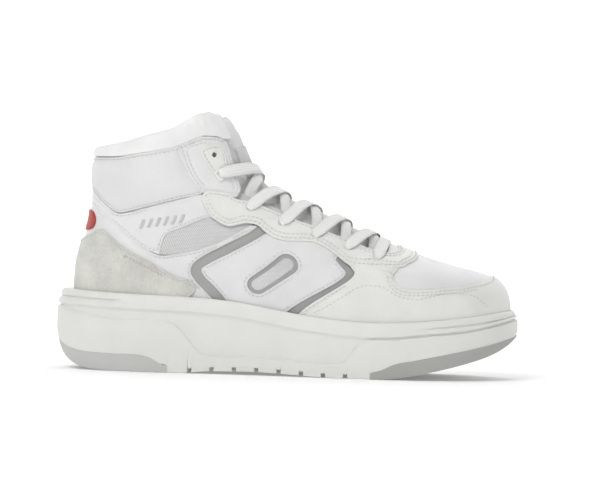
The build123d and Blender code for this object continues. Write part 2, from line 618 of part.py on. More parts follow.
def main():
    nodes = {**sole_unit(), **toe_pieces(), **heel_pieces(), **tongue_pieces()}
    nodes["collar_roll"] = collar_roll()
    nodes["lace"] = lace()
    for name, side in SIDES.items():
        for piece, solid in {**quarter_pieces(side), **shell_panels(side)}.items():
            nodes[f"{piece}_{name}"] = solid
    os.makedirs("parts", exist_ok=True)
    for name, solid in nodes.items():
        export_step(solid, f"parts/{name}.step")


main()
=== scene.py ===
import math
import bmesh
import bpy
import numpy as np
from mathutils import Matrix, Vector, kdtree
from mathutils.geometry import delaunay_2d_cdt


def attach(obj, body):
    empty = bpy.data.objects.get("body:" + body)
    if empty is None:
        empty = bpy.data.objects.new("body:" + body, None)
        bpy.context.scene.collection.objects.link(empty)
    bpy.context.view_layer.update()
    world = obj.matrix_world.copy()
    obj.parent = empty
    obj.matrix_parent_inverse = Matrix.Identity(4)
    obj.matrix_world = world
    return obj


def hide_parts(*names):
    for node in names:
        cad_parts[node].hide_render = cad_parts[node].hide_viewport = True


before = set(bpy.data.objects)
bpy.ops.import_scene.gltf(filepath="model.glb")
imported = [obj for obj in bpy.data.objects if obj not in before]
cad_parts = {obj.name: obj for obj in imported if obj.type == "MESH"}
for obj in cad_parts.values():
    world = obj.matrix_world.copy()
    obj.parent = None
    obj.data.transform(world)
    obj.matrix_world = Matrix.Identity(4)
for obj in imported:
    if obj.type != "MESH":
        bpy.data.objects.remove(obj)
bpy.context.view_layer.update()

MM = 0.001

# ---------------------------------------------- the upper's form, in millimetres from the heel
LENGTH = 300.0
HEEL_LINE = [(20, 12.5), (57, 12.6), (66, 13), (74, 14.2), (82, 16.2), (90, 18.6), (98, 20.4), (106, 21),
             (118, 21.3), (130, 21.5), (142, 21.8), (175, 22.3)]
FRONT_LINE = [(292.5, 20), (292.8, 40), (292.3, 50), (290.6, 56), (286.5, 62), (279, 66.5), (268, 69.6),
              (254, 73), (240, 77), (226, 81.6), (212, 87), (198, 93), (184, 99.3), (170, 105.3),
              (156, 110.8), (142, 117), (131.5, 124.5), (124.5, 134), (119.3, 145), (114.6, 157),
              (109.5, 168), (106.5, 176)]
GIRTH_LEVELS = [42, 62, 75, 90, 110, 130, 175]
GIRTH_SHARES = [0, 0.15, 0.35, 0.6, 0.8, 0.93, 1]
GIRTH = [[56, 45.5, 35.5, 42, 55.5, 61.5, 62], [52, 44, 35, 41, 53.5, 60.5, 59],
         [48, 42, 34.5, 38, 46.5, 48, 45], [44, 39.5, 33.5, 34.5, 38.5, 40, 39],
         [41, 38, 33, 31.5, 31, 28.5, 27], [41, 37.5, 34, 32.5, 32, 32, 32],
         [42, 38.5, 36, 35, 35.5, 36, 36]]
CENTRE = [(0, 0), (60, -0.5), (110, -2), (160, -0.5), (200, 2.5), (250, 6.5), (300, 9.5)]
RIM = [(-6, 51.5), (12, 51.2), (27, 50.6), (58, 49.8), (89, 49), (110, 47.6), (130, 44.8), (151, 41.2),
       (167, 39), (188, 36.9), (210, 36.2), (232, 37.2), (253, 39.2), (275, 41.8), (290, 44), (306, 46)]
SOLE_SHARES = [0, 0.05, 0.15, 0.25, 0.4, 0.55, 0.667, 0.75, 0.833, 0.917, 1]
SOLE_GIRTH = [66, 62.5, 56.5, 48, 41, 46.5, 55.3, 62.2, 67.5, 71, 72]
GROUND = [(-6, 40), (0, 26), (3, 15), (8, 7), (16, 2.2), (28, 0.3), (45, 0), (80, 0), (102, 1.6), (128, 2),
          (152, 1.2), (178, 0), (212, 0), (230, 2.2), (243, 5), (264, 10.3), (280, 15.6), (290, 20.2),
          (297, 26.5), (301, 34), (306, 44)]
BED = 11.9  # the board under the footbed lies this far below the rim
LINING, PANEL, OVERLAY, SUEDE = (-3.1, -2.0), (0.0, 1.1), (1.3, 2.4), (1.3, 2.6)  # depths from the form
LATERAL, MEDIAL = -1, 1
BOTH = ((LATERAL, "lateral"), (MEDIAL, "medial"))
SETTLE = [(42, 0), (52, 0.9), (62, 2.2), (76, 3.6), (92, 3.8), (108, 3.1), (128, 3.6), (136, 2.8), (142, 2.3),
          (175, 2.3)]


def spline(xs, ys, x):
    """Natural cubic spline. ys may hold a column for each x."""
    xs, ys, x = np.asarray(xs, float), np.asarray(ys, float), np.asarray(x, float)
    n, h = len(xs), np.diff(xs)
    a = np.eye(n)
    r = np.zeros_like(ys)
    for i in range(1, n - 1):
        a[i, i - 1 : i + 2] = h[i - 1], 2 * (h[i - 1] + h[i]), h[i]
        r[i] = 6 * ((ys[i + 1] - ys[i]) / h[i] - (ys[i] - ys[i - 1]) / h[i - 1])
    m = np.linalg.solve(a, r)
    k = np.clip(np.searchsorted(xs, x) - 1, 0, n - 2)
    if ys.ndim == 2:
        row = np.arange(len(x))
        y0, y1, m0, m1 = ys[k, row], ys[k + 1, row], m[k, row], m[k + 1, row]
    else:
        y0, y1, m0, m1 = ys[k], ys[k + 1], m[k], m[k + 1]
    t0, t1 = x - xs[k], xs[k + 1] - x
    bent = (m0 * t1**3 + m1 * t0**3) / (6 * h[k])
    return bent + (y0 / h[k] - m0 * h[k] / 6) * t1 + (y1 / h[k] - m1 * h[k] / 6) * t0


def curve(points, x):
    """A smooth curve through points that never swings past them, level past its ends."""
    xs, ys = np.array(points, float).T
    h, d = np.diff(xs), np.diff(ys) / np.diff(xs)
    m = np.concatenate([[d[0]], np.zeros(len(d) - 1), [d[-1]]])
    for i in range(1, len(d)):
        if d[i - 1] * d[i] > 0:
            w0, w1 = 2 * h[i] + h[i - 1], h[i] + 2 * h[i - 1]
            m[i] = (w0 + w1) / (w0 / d[i - 1] + w1 / d[i])
    x = np.clip(x, xs[0], xs[-1])
    k = np.clip(np.searchsorted(xs, x) - 1, 0, len(h) - 1)
    s = (x - xs[k]) / h[k]
    ends = ys[k] * (1 + 2 * s) * (1 - s) ** 2 + ys[k + 1] * (3 - 2 * s) * s**2
    return ends + h[k] * s * (1 - s) * (m[k] * (1 - s) - m[k + 1] * s)


def step(x, start, end):
    """A smooth rise from 0 at start to 1 at end."""
    s = np.clip((np.asarray(x, float) - start) / (end - start), 0, 1)
    return s * s * (3 - 2 * s)


def unit(v):
    """Rows of vectors brought to length one."""
    return v / np.linalg.norm(v, axis=1)[:, None]


def lengths(points):
    """Length along a line up to each of its points."""
    return np.concatenate([[0], np.cumsum(np.linalg.norm(np.diff(points, axis=0), axis=1))])


def at_lengths(u, s, points):
    """Points of a line at the lengths u, where s is the length up to each given point."""
    return np.stack([np.interp(u, s, column) for column in points.T], -1)


def ridge_line(samples=1500):
    """The toe's and instep's middle line: x, z and the length along it, from the toe up."""
    points = np.array(FRONT_LINE, float)
    s = lengths(points)
    along = np.linspace(0, s[-1], samples)
    return spline(s, points[:, 0], along), spline(s, points[:, 1], along), along


RIDGE_X, RIDGE_Z, RIDGE_S = ridge_line()
PAST_TOE = 90  # from this point of the ridge on, x falls all the way up


def heel_x(z):
    return curve(HEEL_LINE, z)


def front_x(z):
    return np.interp(z, RIDGE_Z, RIDGE_X)


def ridge_z(x):
    return np.interp(-np.asarray(x, float), -RIDGE_X[PAST_TOE:], RIDGE_Z[PAST_TOE:])


def girth(z, p):
    """Half width at a height and a share of the length. It eases to a constant below the lowest level."""
    rows = np.array([spline(GIRTH_SHARES, g, p) for g in GIRTH])
    low, ease = GIRTH_LEVELS[0], 6
    return spline(GIRTH_LEVELS, rows,
                  np.minimum(low + ease * np.log1p(np.exp((z - low) / ease)), GIRTH_LEVELS[-1]))


def form(z, t):
    """A point of the form from its height and the angle round the foot: 0 at the heel, pi at the toe."""
    p = (1 - np.cos(t)) / 2
    back = heel_x(z)
    x = back + (front_x(z) - back) * p
    return np.stack([x, curve(CENTRE, x) + np.sin(t) * girth(z, p), z], -1)


def around(z, x, side):
    """The angle round the foot of a side-view point."""
    back = heel_x(z)
    p = np.clip((x - back) / (front_x(z) - back), 0, 1)
    return side * np.arccos(1 - 2 * p)


def offset_line(xy, out):
    """A closed line in plan moved outward, by one distance or by one for each point."""
    e = np.roll(xy, -1, 0) - np.roll(xy, 1, 0)
    return xy + unit(np.stack([-e[:, 1], e[:, 0]], -1)) * np.reshape(out, (-1, 1))


def sole_outline(t, inset):
    """The sole's outline in plan at angles t, moved inward."""
    p = (1 - np.cos(t)) / 2
    x = LENGTH * p
    xy = np.stack([x, curve(CENTRE, x) + np.sin(t) * spline(SOLE_SHARES, SOLE_GIRTH, p)], -1)
    return offset_line(xy, np.negative(inset))


_edge = sole_outline(np.linspace(0, 2 * np.pi, 400, endpoint=False), 0.0)
ORIGIN = np.array([LENGTH / 2, (_edge[:, 1].min() + _edge[:, 1].max()) / 2, 0.0])


def normals(z, t):
    """Outward normals of the form."""
    e = 0.05
    return unit(np.cross(form(z + e, t) - form(z - e, t), form(z, t + e) - form(z, t - e)))


def skin(z, t, depth):
    """Points at a depth along the form's outward normal, in the row frame, in millimetres."""
    z, t = np.broadcast_arrays(np.asarray(z, float), np.asarray(t, float))
    shape = z.shape
    z, t = z.ravel(), t.ravel()
    d = np.broadcast_to(depth, shape).reshape(-1, 1)
    return (form(z, t) + normals(z, t) * d - ORIGIN).reshape(*shape, 3)


def rim_z(x):
    """Height of the cup's rim."""
    return curve(RIM, x)


def low_z(x):
    """Height at which the panels end inside the cup."""
    return rim_z(x) - BED


def new_mesh(name, verts, faces, material, uv=None):
    """A smooth-shaded mesh object from millimetre points. uv holds one (u, v), in millimetres, for each."""
    mesh = bpy.data.meshes.new(name)
    mesh.from_pydata((np.asarray(verts, float) * MM).tolist(), [], [list(map(int, f)) for f in faces])
    if uv is not None:
        layer = mesh.uv_layers.new(name="cloth")
        loops = np.zeros(len(mesh.loops), np.int32)
        mesh.loops.foreach_get("vertex_index", loops)
        layer.data.foreach_set("uv", (np.asarray(uv, np.float32)[loops] * 0.01).ravel())
    mesh.polygons.foreach_set("use_smooth", [True] * len(mesh.polygons))
    obj = bpy.data.objects.new(name, mesh)
    bpy.context.scene.collection.objects.link(obj)
    mesh.materials.append(material)
    mesh.validate()
    mesh.update()
    return obj


def fitted(obj, body, *nodes):
    """Faces turned outward, the piece joined to its body, and the CAD nodes it stands for hidden."""
    bm = bmesh.new()
    bm.from_mesh(obj.data)
    bmesh.ops.recalc_face_normals(bm, faces=bm.faces)
    bm.to_mesh(obj.data)
    bm.free()
    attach(obj, body)
    for node in nodes:
        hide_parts(node)
    return obj


def grid_faces(rows, cols, wrap_cols=False, base=0, flip=False):
    """Quads between the points of a grid that are numbered row by row from base."""
    faces = []
    last = cols if wrap_cols else cols - 1
    for i in range(rows - 1):
        for j in range(last):
            a, b = base + i * cols + j, base + i * cols + (j + 1) % cols
            c, d = b + cols, a + cols
            faces.append((d, c, b, a) if flip else (a, b, c, d))
    return faces


def cap_faces(start, n):
    """Faces across a closed ring of n points, in strips from side to side."""
    faces = [(start, start + 1, start + n - 1)]
    for j in range(1, n // 2):
        corners = dict.fromkeys(start + k for k in (j, j + 1, n - j - 1, n - j))
        if len(corners) > 2:
            faces.append(tuple(corners))
    return faces


def plate_mesh(name, outer, inner, material, uv, body, *nodes):
    """A closed thin piece between two grids of points."""
    rows, cols = outer.shape[:2]
    n = rows * cols
    faces = grid_faces(rows, cols) + grid_faces(rows, cols, base=n, flip=True)
    index = np.arange(n).reshape(rows, cols)
    ring = [*index[0], *index[1:, -1], *index[-1, -2::-1], *index[-2:0:-1, 0]]
    for a, b in zip(ring, ring[1:] + ring[:1]):
        faces.append((b, a, a + n, b + n))
    verts = np.concatenate([outer.reshape(-1, 3), inner.reshape(-1, 3)])
    uv = np.concatenate([uv.reshape(-1, 2)] * 2)
    return fitted(new_mesh(name, verts, faces, material, uv), body, *nodes)


def tube_faces(rings, sides, base=0):
    """Faces of a closed tube with flat ends."""
    ends = [tuple(range(base, base + sides))[::-1],
            tuple(range(base + (rings - 1) * sides, base + rings * sides))]
    return grid_faces(rings, sides, wrap_cols=True, base=base) + ends


# ---------------------------------------------- charts: flat maps of the form, on which outlines are drawn
class SideChart:
    """Arc length round the form at one height, against height. centre, 0 or pi, is the angle at zero."""

    def __init__(self, level, centre=0.0):
        self.centre = centre
        self.t = np.linspace(centre - np.pi, centre + np.pi, 1441)
        s = lengths(form(np.full_like(self.t, level), self.t))
        self.s = s - np.interp(centre, self.t, s)

    def to(self, z, t):
        t = np.mod(np.asarray(t, float), 2 * np.pi) if self.centre else t
        return np.stack(np.broadcast_arrays(np.interp(t, self.t, self.s), z), -1)

    def back(self, q):
        return q[:, 1], np.interp(q[:, 0], self.s, self.t)


class ToeChart:
    """Angle from the toe's middle line against length along that line, for the vamp and the throat."""
    SPREAD = 40.0

    def to(self, z, t):
        return np.stack([(np.mod(t, 2 * np.pi) - np.pi) * self.SPREAD, np.interp(z, RIDGE_Z, RIDGE_S)], -1)

    def back(self, q):
        return np.interp(q[:, 1], RIDGE_S, RIDGE_Z), np.pi + q[:, 0] / self.SPREAD


HEEL, COLLAR, TOE, THROAT = SideChart(75), SideChart(125), SideChart(48, math.pi), ToeChart()


def spanned(p0, p1, p2, p3, count):
    """Points from p1 towards p2 on a spline whose centripetal spans keep uneven points from looping."""
    t = np.concatenate([[0], np.cumsum([max(np.linalg.norm(b - a), 1e-6) ** 0.5
                                        for a, b in ((p0, p1), (p1, p2), (p2, p3))])])
    for u in np.linspace(t[1], t[2], count, endpoint=False):
        layer = [p0, p1, p2, p3]
        for reach in (1, 2):
            layer = [(t[i + reach] - u) / (t[i + reach] - t[i]) * layer[i] +
                     (u - t[i]) / (t[i + reach] - t[i]) * layer[i + 1] for i in range(4 - reach)]
        yield (t[2] - u) / (t[2] - t[1]) * layer[0] + (u - t[1]) / (t[2] - t[1]) * layer[1]


def smooth_line(points, closed=False, per=1.0, sharp=()):
    """Points through the given ones by a spline. A corner whose index is in sharp stays a corner."""
    pts = [np.array(p, float) for p in points]
    n = len(pts)
    out = []
    for i in range(n if closed else n - 1):
        p1, p2 = pts[i], pts[(i + 1) % n]
        p0 = pts[i - 1] if closed or i > 0 else 2 * p1 - p2
        p3 = pts[(i + 2) % n] if closed or i + 2 < n else 2 * p2 - p1
        if i in sharp:
            p0 = p1 - (p2 - p1) * 0.5
        if (i + 1) % n in sharp:
            p3 = p2 + (p2 - p1) * 0.5
        out += spanned(p0, p1, p2, p3, max(2, int(np.ceil(np.linalg.norm(p2 - p1) / per))))
    if not closed:
        out.append(pts[-1])
    return np.array(out)


def settled(x, z):
    """Side-view points of the outline tables, moved to where they sit on the finished upper."""
    x, z = np.asarray(x, float), np.asarray(z, float)
    drop = curve(SETTLE, z) * (1 - 0.55 * step(x, 262, 285))
    back = 2.2 * step(z, 66, 92) * (1 - step(x, 150, 205)) * step(x, 30, 60)
    corner = 5.0 * np.exp(-(((x - 95) / 15) ** 2) - ((z - 64) / 14) ** 2)
    return x - back - corner, z - drop


def on_form(points, side):
    """(z, t) of side-view (x, z) points."""
    x, z = settled(*np.asarray(points, float).T)
    return z, around(z, x, side)


def entry_at(e, side):
    """(z, t) of an entry: (x, z), ("heel", z) or ("toe", x) on the middle line, or ("low", x) in the cup."""
    if e[0] == "heel":
        return float(settled(20.0, e[1])[1]), 0.0
    if e[0] == "toe":
        return float(ridge_z(e[1])), math.pi
    x, z = (e[1], low_z(e[1])) if e[0] == "low" else settled(*e[:2])
    return float(z), float(around(z, x, side))


def closed_line(chart, run, per=1.0):
    """A closed outline in chart units through (entry, side) pairs. An entry that ends in "c" is a corner."""
    z, t = np.array([entry_at(e, side) for e, side in run]).T
    sharp = [i for i, (e, _) in enumerate(run) if len(e) == 3]
    return smooth_line(chart.to(z, t), closed=True, per=per, sharp=sharp)


def outline(chart, entries, side=None, per=1.0):
    """An outline on one side, or with no side one from middle line to middle line and its mirror image."""
    if side is None:
        run = [(e, LATERAL) for e in entries] + [(e, MEDIAL) for e in entries[-2:0:-1]]
    else:
        run = [(e, side) for e in entries]
    return closed_line(chart, run, per)


def lasted(x0, x1, n=12):
    """The hidden lower edge of a panel, inside the cup."""
    return [(float(x), float(low_z(x))) for x in np.linspace(x0, x1, n)]


def lasted_corner(x):
    """A corner on that edge."""
    return (x, float(low_z(x)), "c")


def inside(poly, q):
    """Which points lie inside a closed line."""
    x, y = q[:, 0][:, None], q[:, 1][:, None]
    x0, y0 = poly[:, 0][None], poly[:, 1][None]
    x1, y1 = np.roll(poly[:, 0], -1)[None], np.roll(poly[:, 1], -1)[None]
    with np.errstate(divide="ignore", invalid="ignore"):
        hit = ((y0 > y) != (y1 > y)) & (x < (x1 - x0) * (y - y0) / (y1 - y0) + x0)
    return hit.sum(1) % 2 == 1


def within(rims, q):
    """Which points lie inside the first outline and outside the others."""
    ok = inside(rims[0], q)
    for hole in rims[1:]:
        ok &= ~inside(hole, q)
    return ok


def make_tree(points):
    tree = kdtree.KDTree(len(points))
    for i, p in enumerate(points):
        tree.insert(p, i)
    tree.balance()
    return tree


def nearest(tree, points):
    """Distance from each point to the tree."""
    return np.array([tree.find(p)[2] for p in points])


def surface(chart, q):
    """Points of the form under chart points."""
    return skin(*chart.back(q), 0)


def resample(q, chart, pitch):
    """A closed outline in chart units, evenly spaced on the form."""
    q = np.vstack([q, q[:1]])
    s = lengths(surface(chart, q))
    n = max(8, int(round(s[-1] / pitch)))
    return at_lengths(np.linspace(0, s[-1], n, endpoint=False), s, q)


def shifted(q, chart, distance):
    """The outline moved inward on the form, and which of its points keep clear of the outline."""
    e = np.roll(q, -1, 0) - np.roll(q, 1, 0)
    area = np.sum(q[:, 0] * np.roll(q[:, 1], -1) - np.roll(q[:, 0], -1) * q[:, 1])
    p = surface(chart, q)
    h = 0.02
    du, dv = ((surface(chart, q + move) - p) / h for move in ([h, 0], [0, h]))
    along = e[:, :1] * du + e[:, 1:] * dv
    inward = unit(np.cross(np.cross(du, dv), along) * np.sign(area))
    # solve inward = a du + b dv
    g11, g12, g22 = (du * du).sum(1), (du * dv).sum(1), (dv * dv).sum(1)
    r1, r2 = (inward * du).sum(1), (inward * dv).sum(1)
    det = g11 * g22 - g12 * g12
    out = q + np.stack([(g22 * r1 - g12 * r2) / det, (g11 * r2 - g12 * r1) / det], -1) * distance
    return out, nearest(make_tree(p), surface(chart, out)) > distance * 0.93


# ---------------------------------------------- panels and their stitches
EDGE_RINGS = (0.0, 0.28, 0.7, 1.4)  # distances from a panel's edge, and how far its surface drops there
EDGE_DROP = (0.42, 0.12, 0.0, 0.0)
GROOVE_DEPTH, GROOVE_WIDTH = 0.42, 0.5
HOLE_RING_LIMIT = 1.5  # rings round a hole stop at this distance
RIM_STEP = 0.3  # spacing of the rim points that distances are measured from
ON_RIM = 0.16  # points nearer to a rim than this lie on it
THREAD_LIFT = np.array([-0.25, 0.02, 0.1, 0.02, -0.25]) / 0.3  # in thread radii, from end to end of a stitch
THREAD_GIRTH = 0.55, 1.0, 1.0, 1.0, 0.55


def fill_points(rims, rings, chart, cell, tree):
    """Points inside a panel: rings of them along its rims, and an even spread between."""
    free = []
    for r, rim in enumerate(rims):
        for d in rings:
            if d == 0 or (r and d > HOLE_RING_LIMIT):
                continue
            q, ok = shifted(rim, chart, -d if r else d)
            free.append(q[ok])
    low, high = rims[0].min(0), rims[0].max(0)
    middle = (low + high) / 2
    here = surface(chart, middle[None])
    scale = [max(np.linalg.norm(surface(chart, (middle + e)[None]) - here), 0.3) for e in np.eye(2)]
    us, vs = (np.arange(low[k], high[k], cell / scale[k]) for k in (0, 1))
    gx, gy = np.meshgrid(us, vs)
    gx = gx + (np.arange(len(vs)) % 2)[:, None] * (us[1] - us[0]) / 2
    q = np.stack([gx.ravel(), gy.ravel()], -1)
    q = q[within(rims, q)]
    free = np.concatenate([*free, q[nearest(tree, surface(chart, q)) > max(rings) + cell * 0.45]])
    return free[within(rims, free)]


def triangles(rims, free):
    """Points in the chart and the triangles between them that follow the rims."""
    edges, start = [], 0
    for rim in rims:
        n = len(rim)
        edges += [(start + i, start + (i + 1) % n) for i in range(n)]
        start += n
    points = [Vector(p) for p in np.concatenate([*rims, free])]
    q, _, tris, *_ = delaunay_2d_cdt(points, edges, [], 0, 1e-5)
    q, tris = np.array([tuple(v) for v in q]), np.array(tris)
    return q, tris[within(rims, q[tris].mean(1))]


def shell_faces(tris, n):
    """The triangles, their copies n points on, and a wall along each open edge."""
    edges = dict.fromkeys((f[i], f[(i + 1) % 3]) for f in tris for i in range(3))
    faces = [tuple(f) for f in tris] + [tuple(f[::-1] + n) for f in tris]
    return faces + [(b, a, a + n, b + n) for a, b in edges if (b, a) not in edges]


def panel(name, edge, chart, span, material, holes=(), cell=2.2, groove=(), puff=0.0, pitch=1.3):
    """A panel on the shoe. edge and holes are closed lines in the chart. groove lists distances from the edge
    at which stitches pull the surface in, and puff raises the middle."""
    rims = [resample(edge, chart, pitch)] + [resample(h, chart, min(pitch, 0.7)) for h in holes]
    rings = sorted(set(EDGE_RINGS) | {g + d for g in groove for d in (-0.55, 0, 0.55)})
    tree = make_tree(np.concatenate([surface(chart, resample(r, chart, RIM_STEP)) for r in rims]))
    q, tris = triangles(rims, fill_points(rims, rings, chart, cell, tree))
    z, t = chart.back(q)
    far = nearest(tree, skin(z, t, 0))
    far[far < ON_RIM] = 0
    top = span[1] - np.interp(far, EDGE_RINGS, EDGE_DROP) + puff * step(far, 1.0, 8.0)
    for g in groove:
        top -= GROOVE_DEPTH * np.exp(-(((far - g) / GROOVE_WIDTH) ** 2))
    verts = np.concatenate([skin(z, t, top), skin(z, t, span[0])])
    faces = shell_faces(tris, len(q))
    used = sorted({i for f in faces for i in f})
    remap = {a: i for i, a in enumerate(used)}
    faces = [tuple(remap[i] for i in f) for f in faces]
    obj = fitted(new_mesh(name, verts[used], faces, material, np.concatenate([q, q])[used]), "shoe")
    obj.data.set_sharp_from_angle(angle=math.radians(50))
    return obj


def stitches(name, paths, depth, material, pitch=2.9, share=0.74, r=0.34):
    """Short rounded threads along (z, t) paths. Their ends dip into the leather."""
    verts, faces = [], []
    sides = 6
    for z, t in paths:
        p = skin(z, t, depth)
        n = skin(z, t, depth + 1) - p
        s = lengths(p)
        for k in range(int(s[-1] // pitch)):
            a = (k + 0.12) * pitch
            u = np.linspace(a, a + pitch * share, len(THREAD_GIRTH))
            up = unit(at_lengths(u, s, n))
            c = at_lengths(u, s, p) + up * (THREAD_LIFT * r)[:, None]
            side = np.cross(up, unit(np.gradient(c, axis=0)))
            faces += tube_faces(len(THREAD_GIRTH), sides, len(verts))
            for i, w in enumerate(THREAD_GIRTH):
                for g in np.arange(sides) * 2 * math.pi / sides:
                    verts.append(c[i] + r * w * (math.cos(g) * side[i] + 0.8 * math.sin(g) * up[i]))
    if verts:
        fitted(new_mesh(name, np.array(verts), faces, material), "shoe")


def row_along(q, chart, distance, keep):
    """Stitch paths at a distance inside an outline, where keep(x, z) holds."""
    out, ok = shifted(resample(q, chart, 0.8), chart, distance)
    z, t = chart.back(out)
    ok = ok & keep(form(z, t)[:, 0], z)
    if ok.all():
        return [chart.back(np.vstack([out, out[:1]]))]
    runs, run = [], []
    for i in [*np.roll(np.arange(len(out)), -int(np.argmin(ok))), None]:
        if i is not None and ok[i]:
            run.append(out[i])
        else:
            if len(run) > 4:
                runs.append(chart.back(np.array(run)))
            run = []
    return runs


def everywhere(x, z):
    """Keeps the whole of a stitch row."""
    return np.ones_like(x, bool)


def dress(name, q, chart, span, material, rows=(), replaces=(), **options):
    """A panel that stands for CAD nodes, with stitch rows given as (distance from the edge, keep)."""
    obj = panel(name, q, chart, span, material, groove=sorted({d for d, _ in rows}), **options)
    for node in replaces:
        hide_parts(node)
    for k, (distance, keep) in enumerate(rows):
        stitches(f"{name}_stitch{k}", row_along(q, chart, distance, keep), span[1] - 0.12, M["thread"])


# ---------------------------------------------- materials
class Look:
    """A material, with short ways to add texture nodes to its shader."""

    def __init__(self, name, color, rough):
        self.mat = bpy.data.materials.new(name)
        self.mat.use_nodes = True
        self.nodes, self.links = self.mat.node_tree.nodes, self.mat.node_tree.links
        self.inputs = self.nodes["Principled BSDF"].inputs
        self.inputs["Base Color"].default_value = (*color, 1)
        self.inputs["Roughness"].default_value = rough
        self.inputs["Metallic"].default_value = 0.0
        coords = self.nodes.new("ShaderNodeTexCoord")
        self.at, self.cloth = coords.outputs["Object"], coords.outputs["UV"]

    def wire(self, value, name):
        self.links.new(value, self.inputs[name])

    def noise(self, scale, detail=4.0, rough=0.55):
        n = self.nodes.new("ShaderNodeTexNoise")
        n.inputs["Scale"].default_value = scale
        n.inputs["Detail"].default_value = detail
        n.inputs["Roughness"].default_value = rough
        self.links.new(self.at, n.inputs["Vector"])
        return n.outputs["Fac"]

    def ramp(self, value, low, high, start=0.3, end=0.7):
        r = self.nodes.new("ShaderNodeValToRGB")
        for element, place, color in zip(r.color_ramp.elements, (start, end), (low, high)):
            element.position = place
            element.color = (*color, 1)
        self.links.new(value, r.inputs["Fac"])
        return r.outputs["Color"]

    def bump(self, height, strength, distance, before=None):
        b = self.nodes.new("ShaderNodeBump")
        b.inputs["Strength"].default_value = strength
        b.inputs["Distance"].default_value = distance
        self.links.new(height, b.inputs["Height"])
        if before is not None:
            self.links.new(before, b.inputs["Normal"])
        return b.outputs["Normal"]

    def maths(self, op, a, b):
        m = self.nodes.new("ShaderNodeMath")
        m.operation = op
        for socket, value in zip(m.inputs, (a, b)):
            if isinstance(value, (int, float)):
                socket.default_value = value
            else:
                self.links.new(value, socket)
        return m.outputs[0]

    def split(self, vector):
        s = self.nodes.new("ShaderNodeSeparateXYZ")
        self.links.new(vector, s.inputs["Vector"])
        return s.outputs

    def mottle(self, color, shades, color_scale, rough, roughs, rough_scale):
        """Broad changes of colour and gloss."""
        self.wire(self.ramp(self.noise(color_scale), *(shade(color, k) for k in shades)), "Base Color")
        self.wire(self.ramp(self.noise(rough_scale), *((rough + k,) * 3 for k in roughs)), "Roughness")


def shade(color, k):
    """A colour made darker or lighter by a factor."""
    return tuple(min(1.0, c * k) for c in color)


def leather(name, color, rough, pebble=0.0, pebble_size=1.6):
    """Coated leather with a fine grain. pebble is the strength of its tumbled surface."""
    look = Look(name, color, rough)
    look.mottle(color, (0.955, 1.03), 45, rough, (-0.07, 0.09), 120)
    normal = look.bump(look.noise(26, 2), 0.25, 0.0012)
    normal = look.bump(look.noise(1500, 3), 0.25, 0.00012, normal)
    if pebble:
        v = look.nodes.new("ShaderNodeTexVoronoi")
        v.feature = "SMOOTH_F1"
        v.inputs["Scale"].default_value = 1000 / pebble_size
        look.links.new(look.at, v.inputs["Vector"])
        normal = look.bump(v.outputs["Distance"], pebble, 0.0003, normal)
    look.wire(normal, "Normal")
    return look.mat


def suede_material(name, color):
    """Nubuck: worn patches and a short nap."""
    look = Look(name, color, 0.95)
    patches = look.noise(55, 6, 0.65)
    nap = look.noise(900, 3, 0.7)
    mixed = look.maths("ADD", look.maths("MULTIPLY", patches, 0.65), look.maths("MULTIPLY", nap, 0.35))
    look.wire(look.ramp(mixed, shade(color, 0.80), shade(color, 1.10), 0.36, 0.64), "Base Color")
    look.inputs["Sheen Weight"].default_value = 0.35
    look.inputs["Sheen Roughness"].default_value = 0.6
    look.inputs["Specular IOR Level"].default_value = 0.15
    look.wire(look.bump(patches, 0.3, 0.0009, look.bump(nap, 0.55, 0.0003)), "Normal")
    return look.mat


def rubber(name, color, rough=0.55, speck=0.3, tread=False):
    """Matt moulded rubber with a fine speckle. tread adds zigzag grooves to the faces that look down."""
    look = Look(name, color, rough)
    look.mottle(color, (0.965, 1.02), 30, rough, (-0.08, 0.1), 160)
    normal = look.bump(look.noise(2200, 2), speck, 0.00009, look.bump(look.noise(18, 2), 0.12, 0.001))
    if tread:
        normal = look.bump(tread_height(look), 1.0, 0.0012, normal)
    look.wire(normal, "Normal")
    return look.mat


def tread_height(look, pitch=0.0085, zigzag=0.009):
    """Zigzag blocks across the sole, in metres, and flat on every face that doesn't look down."""
    place = look.split(look.at)
    along = look.maths("ADD", place["X"], look.maths("PINGPONG", place["Y"], zigzag))
    wave = look.maths("SINE", look.maths("MULTIPLY", along, 2 * math.pi / pitch), 0)
    blocks = look.maths("MULTIPLY", look.maths("MAXIMUM", wave, -0.35), 0.7)
    facing = look.split(look.nodes.new("ShaderNodeNewGeometry").outputs["Normal"])
    return look.maths("MULTIPLY", blocks, look.maths("LESS_THAN", facing["Z"], -0.75))


def woven(name, color, pitch, hole, depth, angle=45, rough=0.85):
    """Cloth from threads that cross at a pitch in millimetres. A UV unit is 100 millimetres. hole is the
    share of the colour left in the painted shade between the threads, and the crowns of the threads get a
    slight painted highlight.
    """
    look = Look(name, color, rough)
    turn = look.nodes.new("ShaderNodeMapping")
    turn.inputs["Scale"].default_value = (100 / pitch,) * 3
    turn.inputs["Rotation"].default_value = (0, 0, math.radians(angle))
    look.links.new(look.cloth, turn.inputs["Vector"])
    threads = look.split(turn.outputs["Vector"])
    waves = [look.maths("SINE", look.maths("MULTIPLY", threads[axis], 2 * math.pi), 0) for axis in ("X", "Y")]
    height = look.maths("ADD", look.maths("MULTIPLY", look.maths("MULTIPLY", *waves), 0.5), 0.5)
    height = look.maths("ADD", height, look.maths("MULTIPLY", look.noise(1800, 2, 0.6), 0.25))
    # painted shade and highlight: darker where the weave is low, between the threads, and a little lighter on
    # their crowns
    look.wire(look.ramp(height, shade(color, hole), shade(color, 1.04), 0.2, 0.75), "Base Color")
    look.inputs["Sheen Weight"].default_value = 0.2
    look.inputs["Specular IOR Level"].default_value = 0.25
    look.wire(look.bump(height, 0.8, depth), "Normal")
    return look.mat


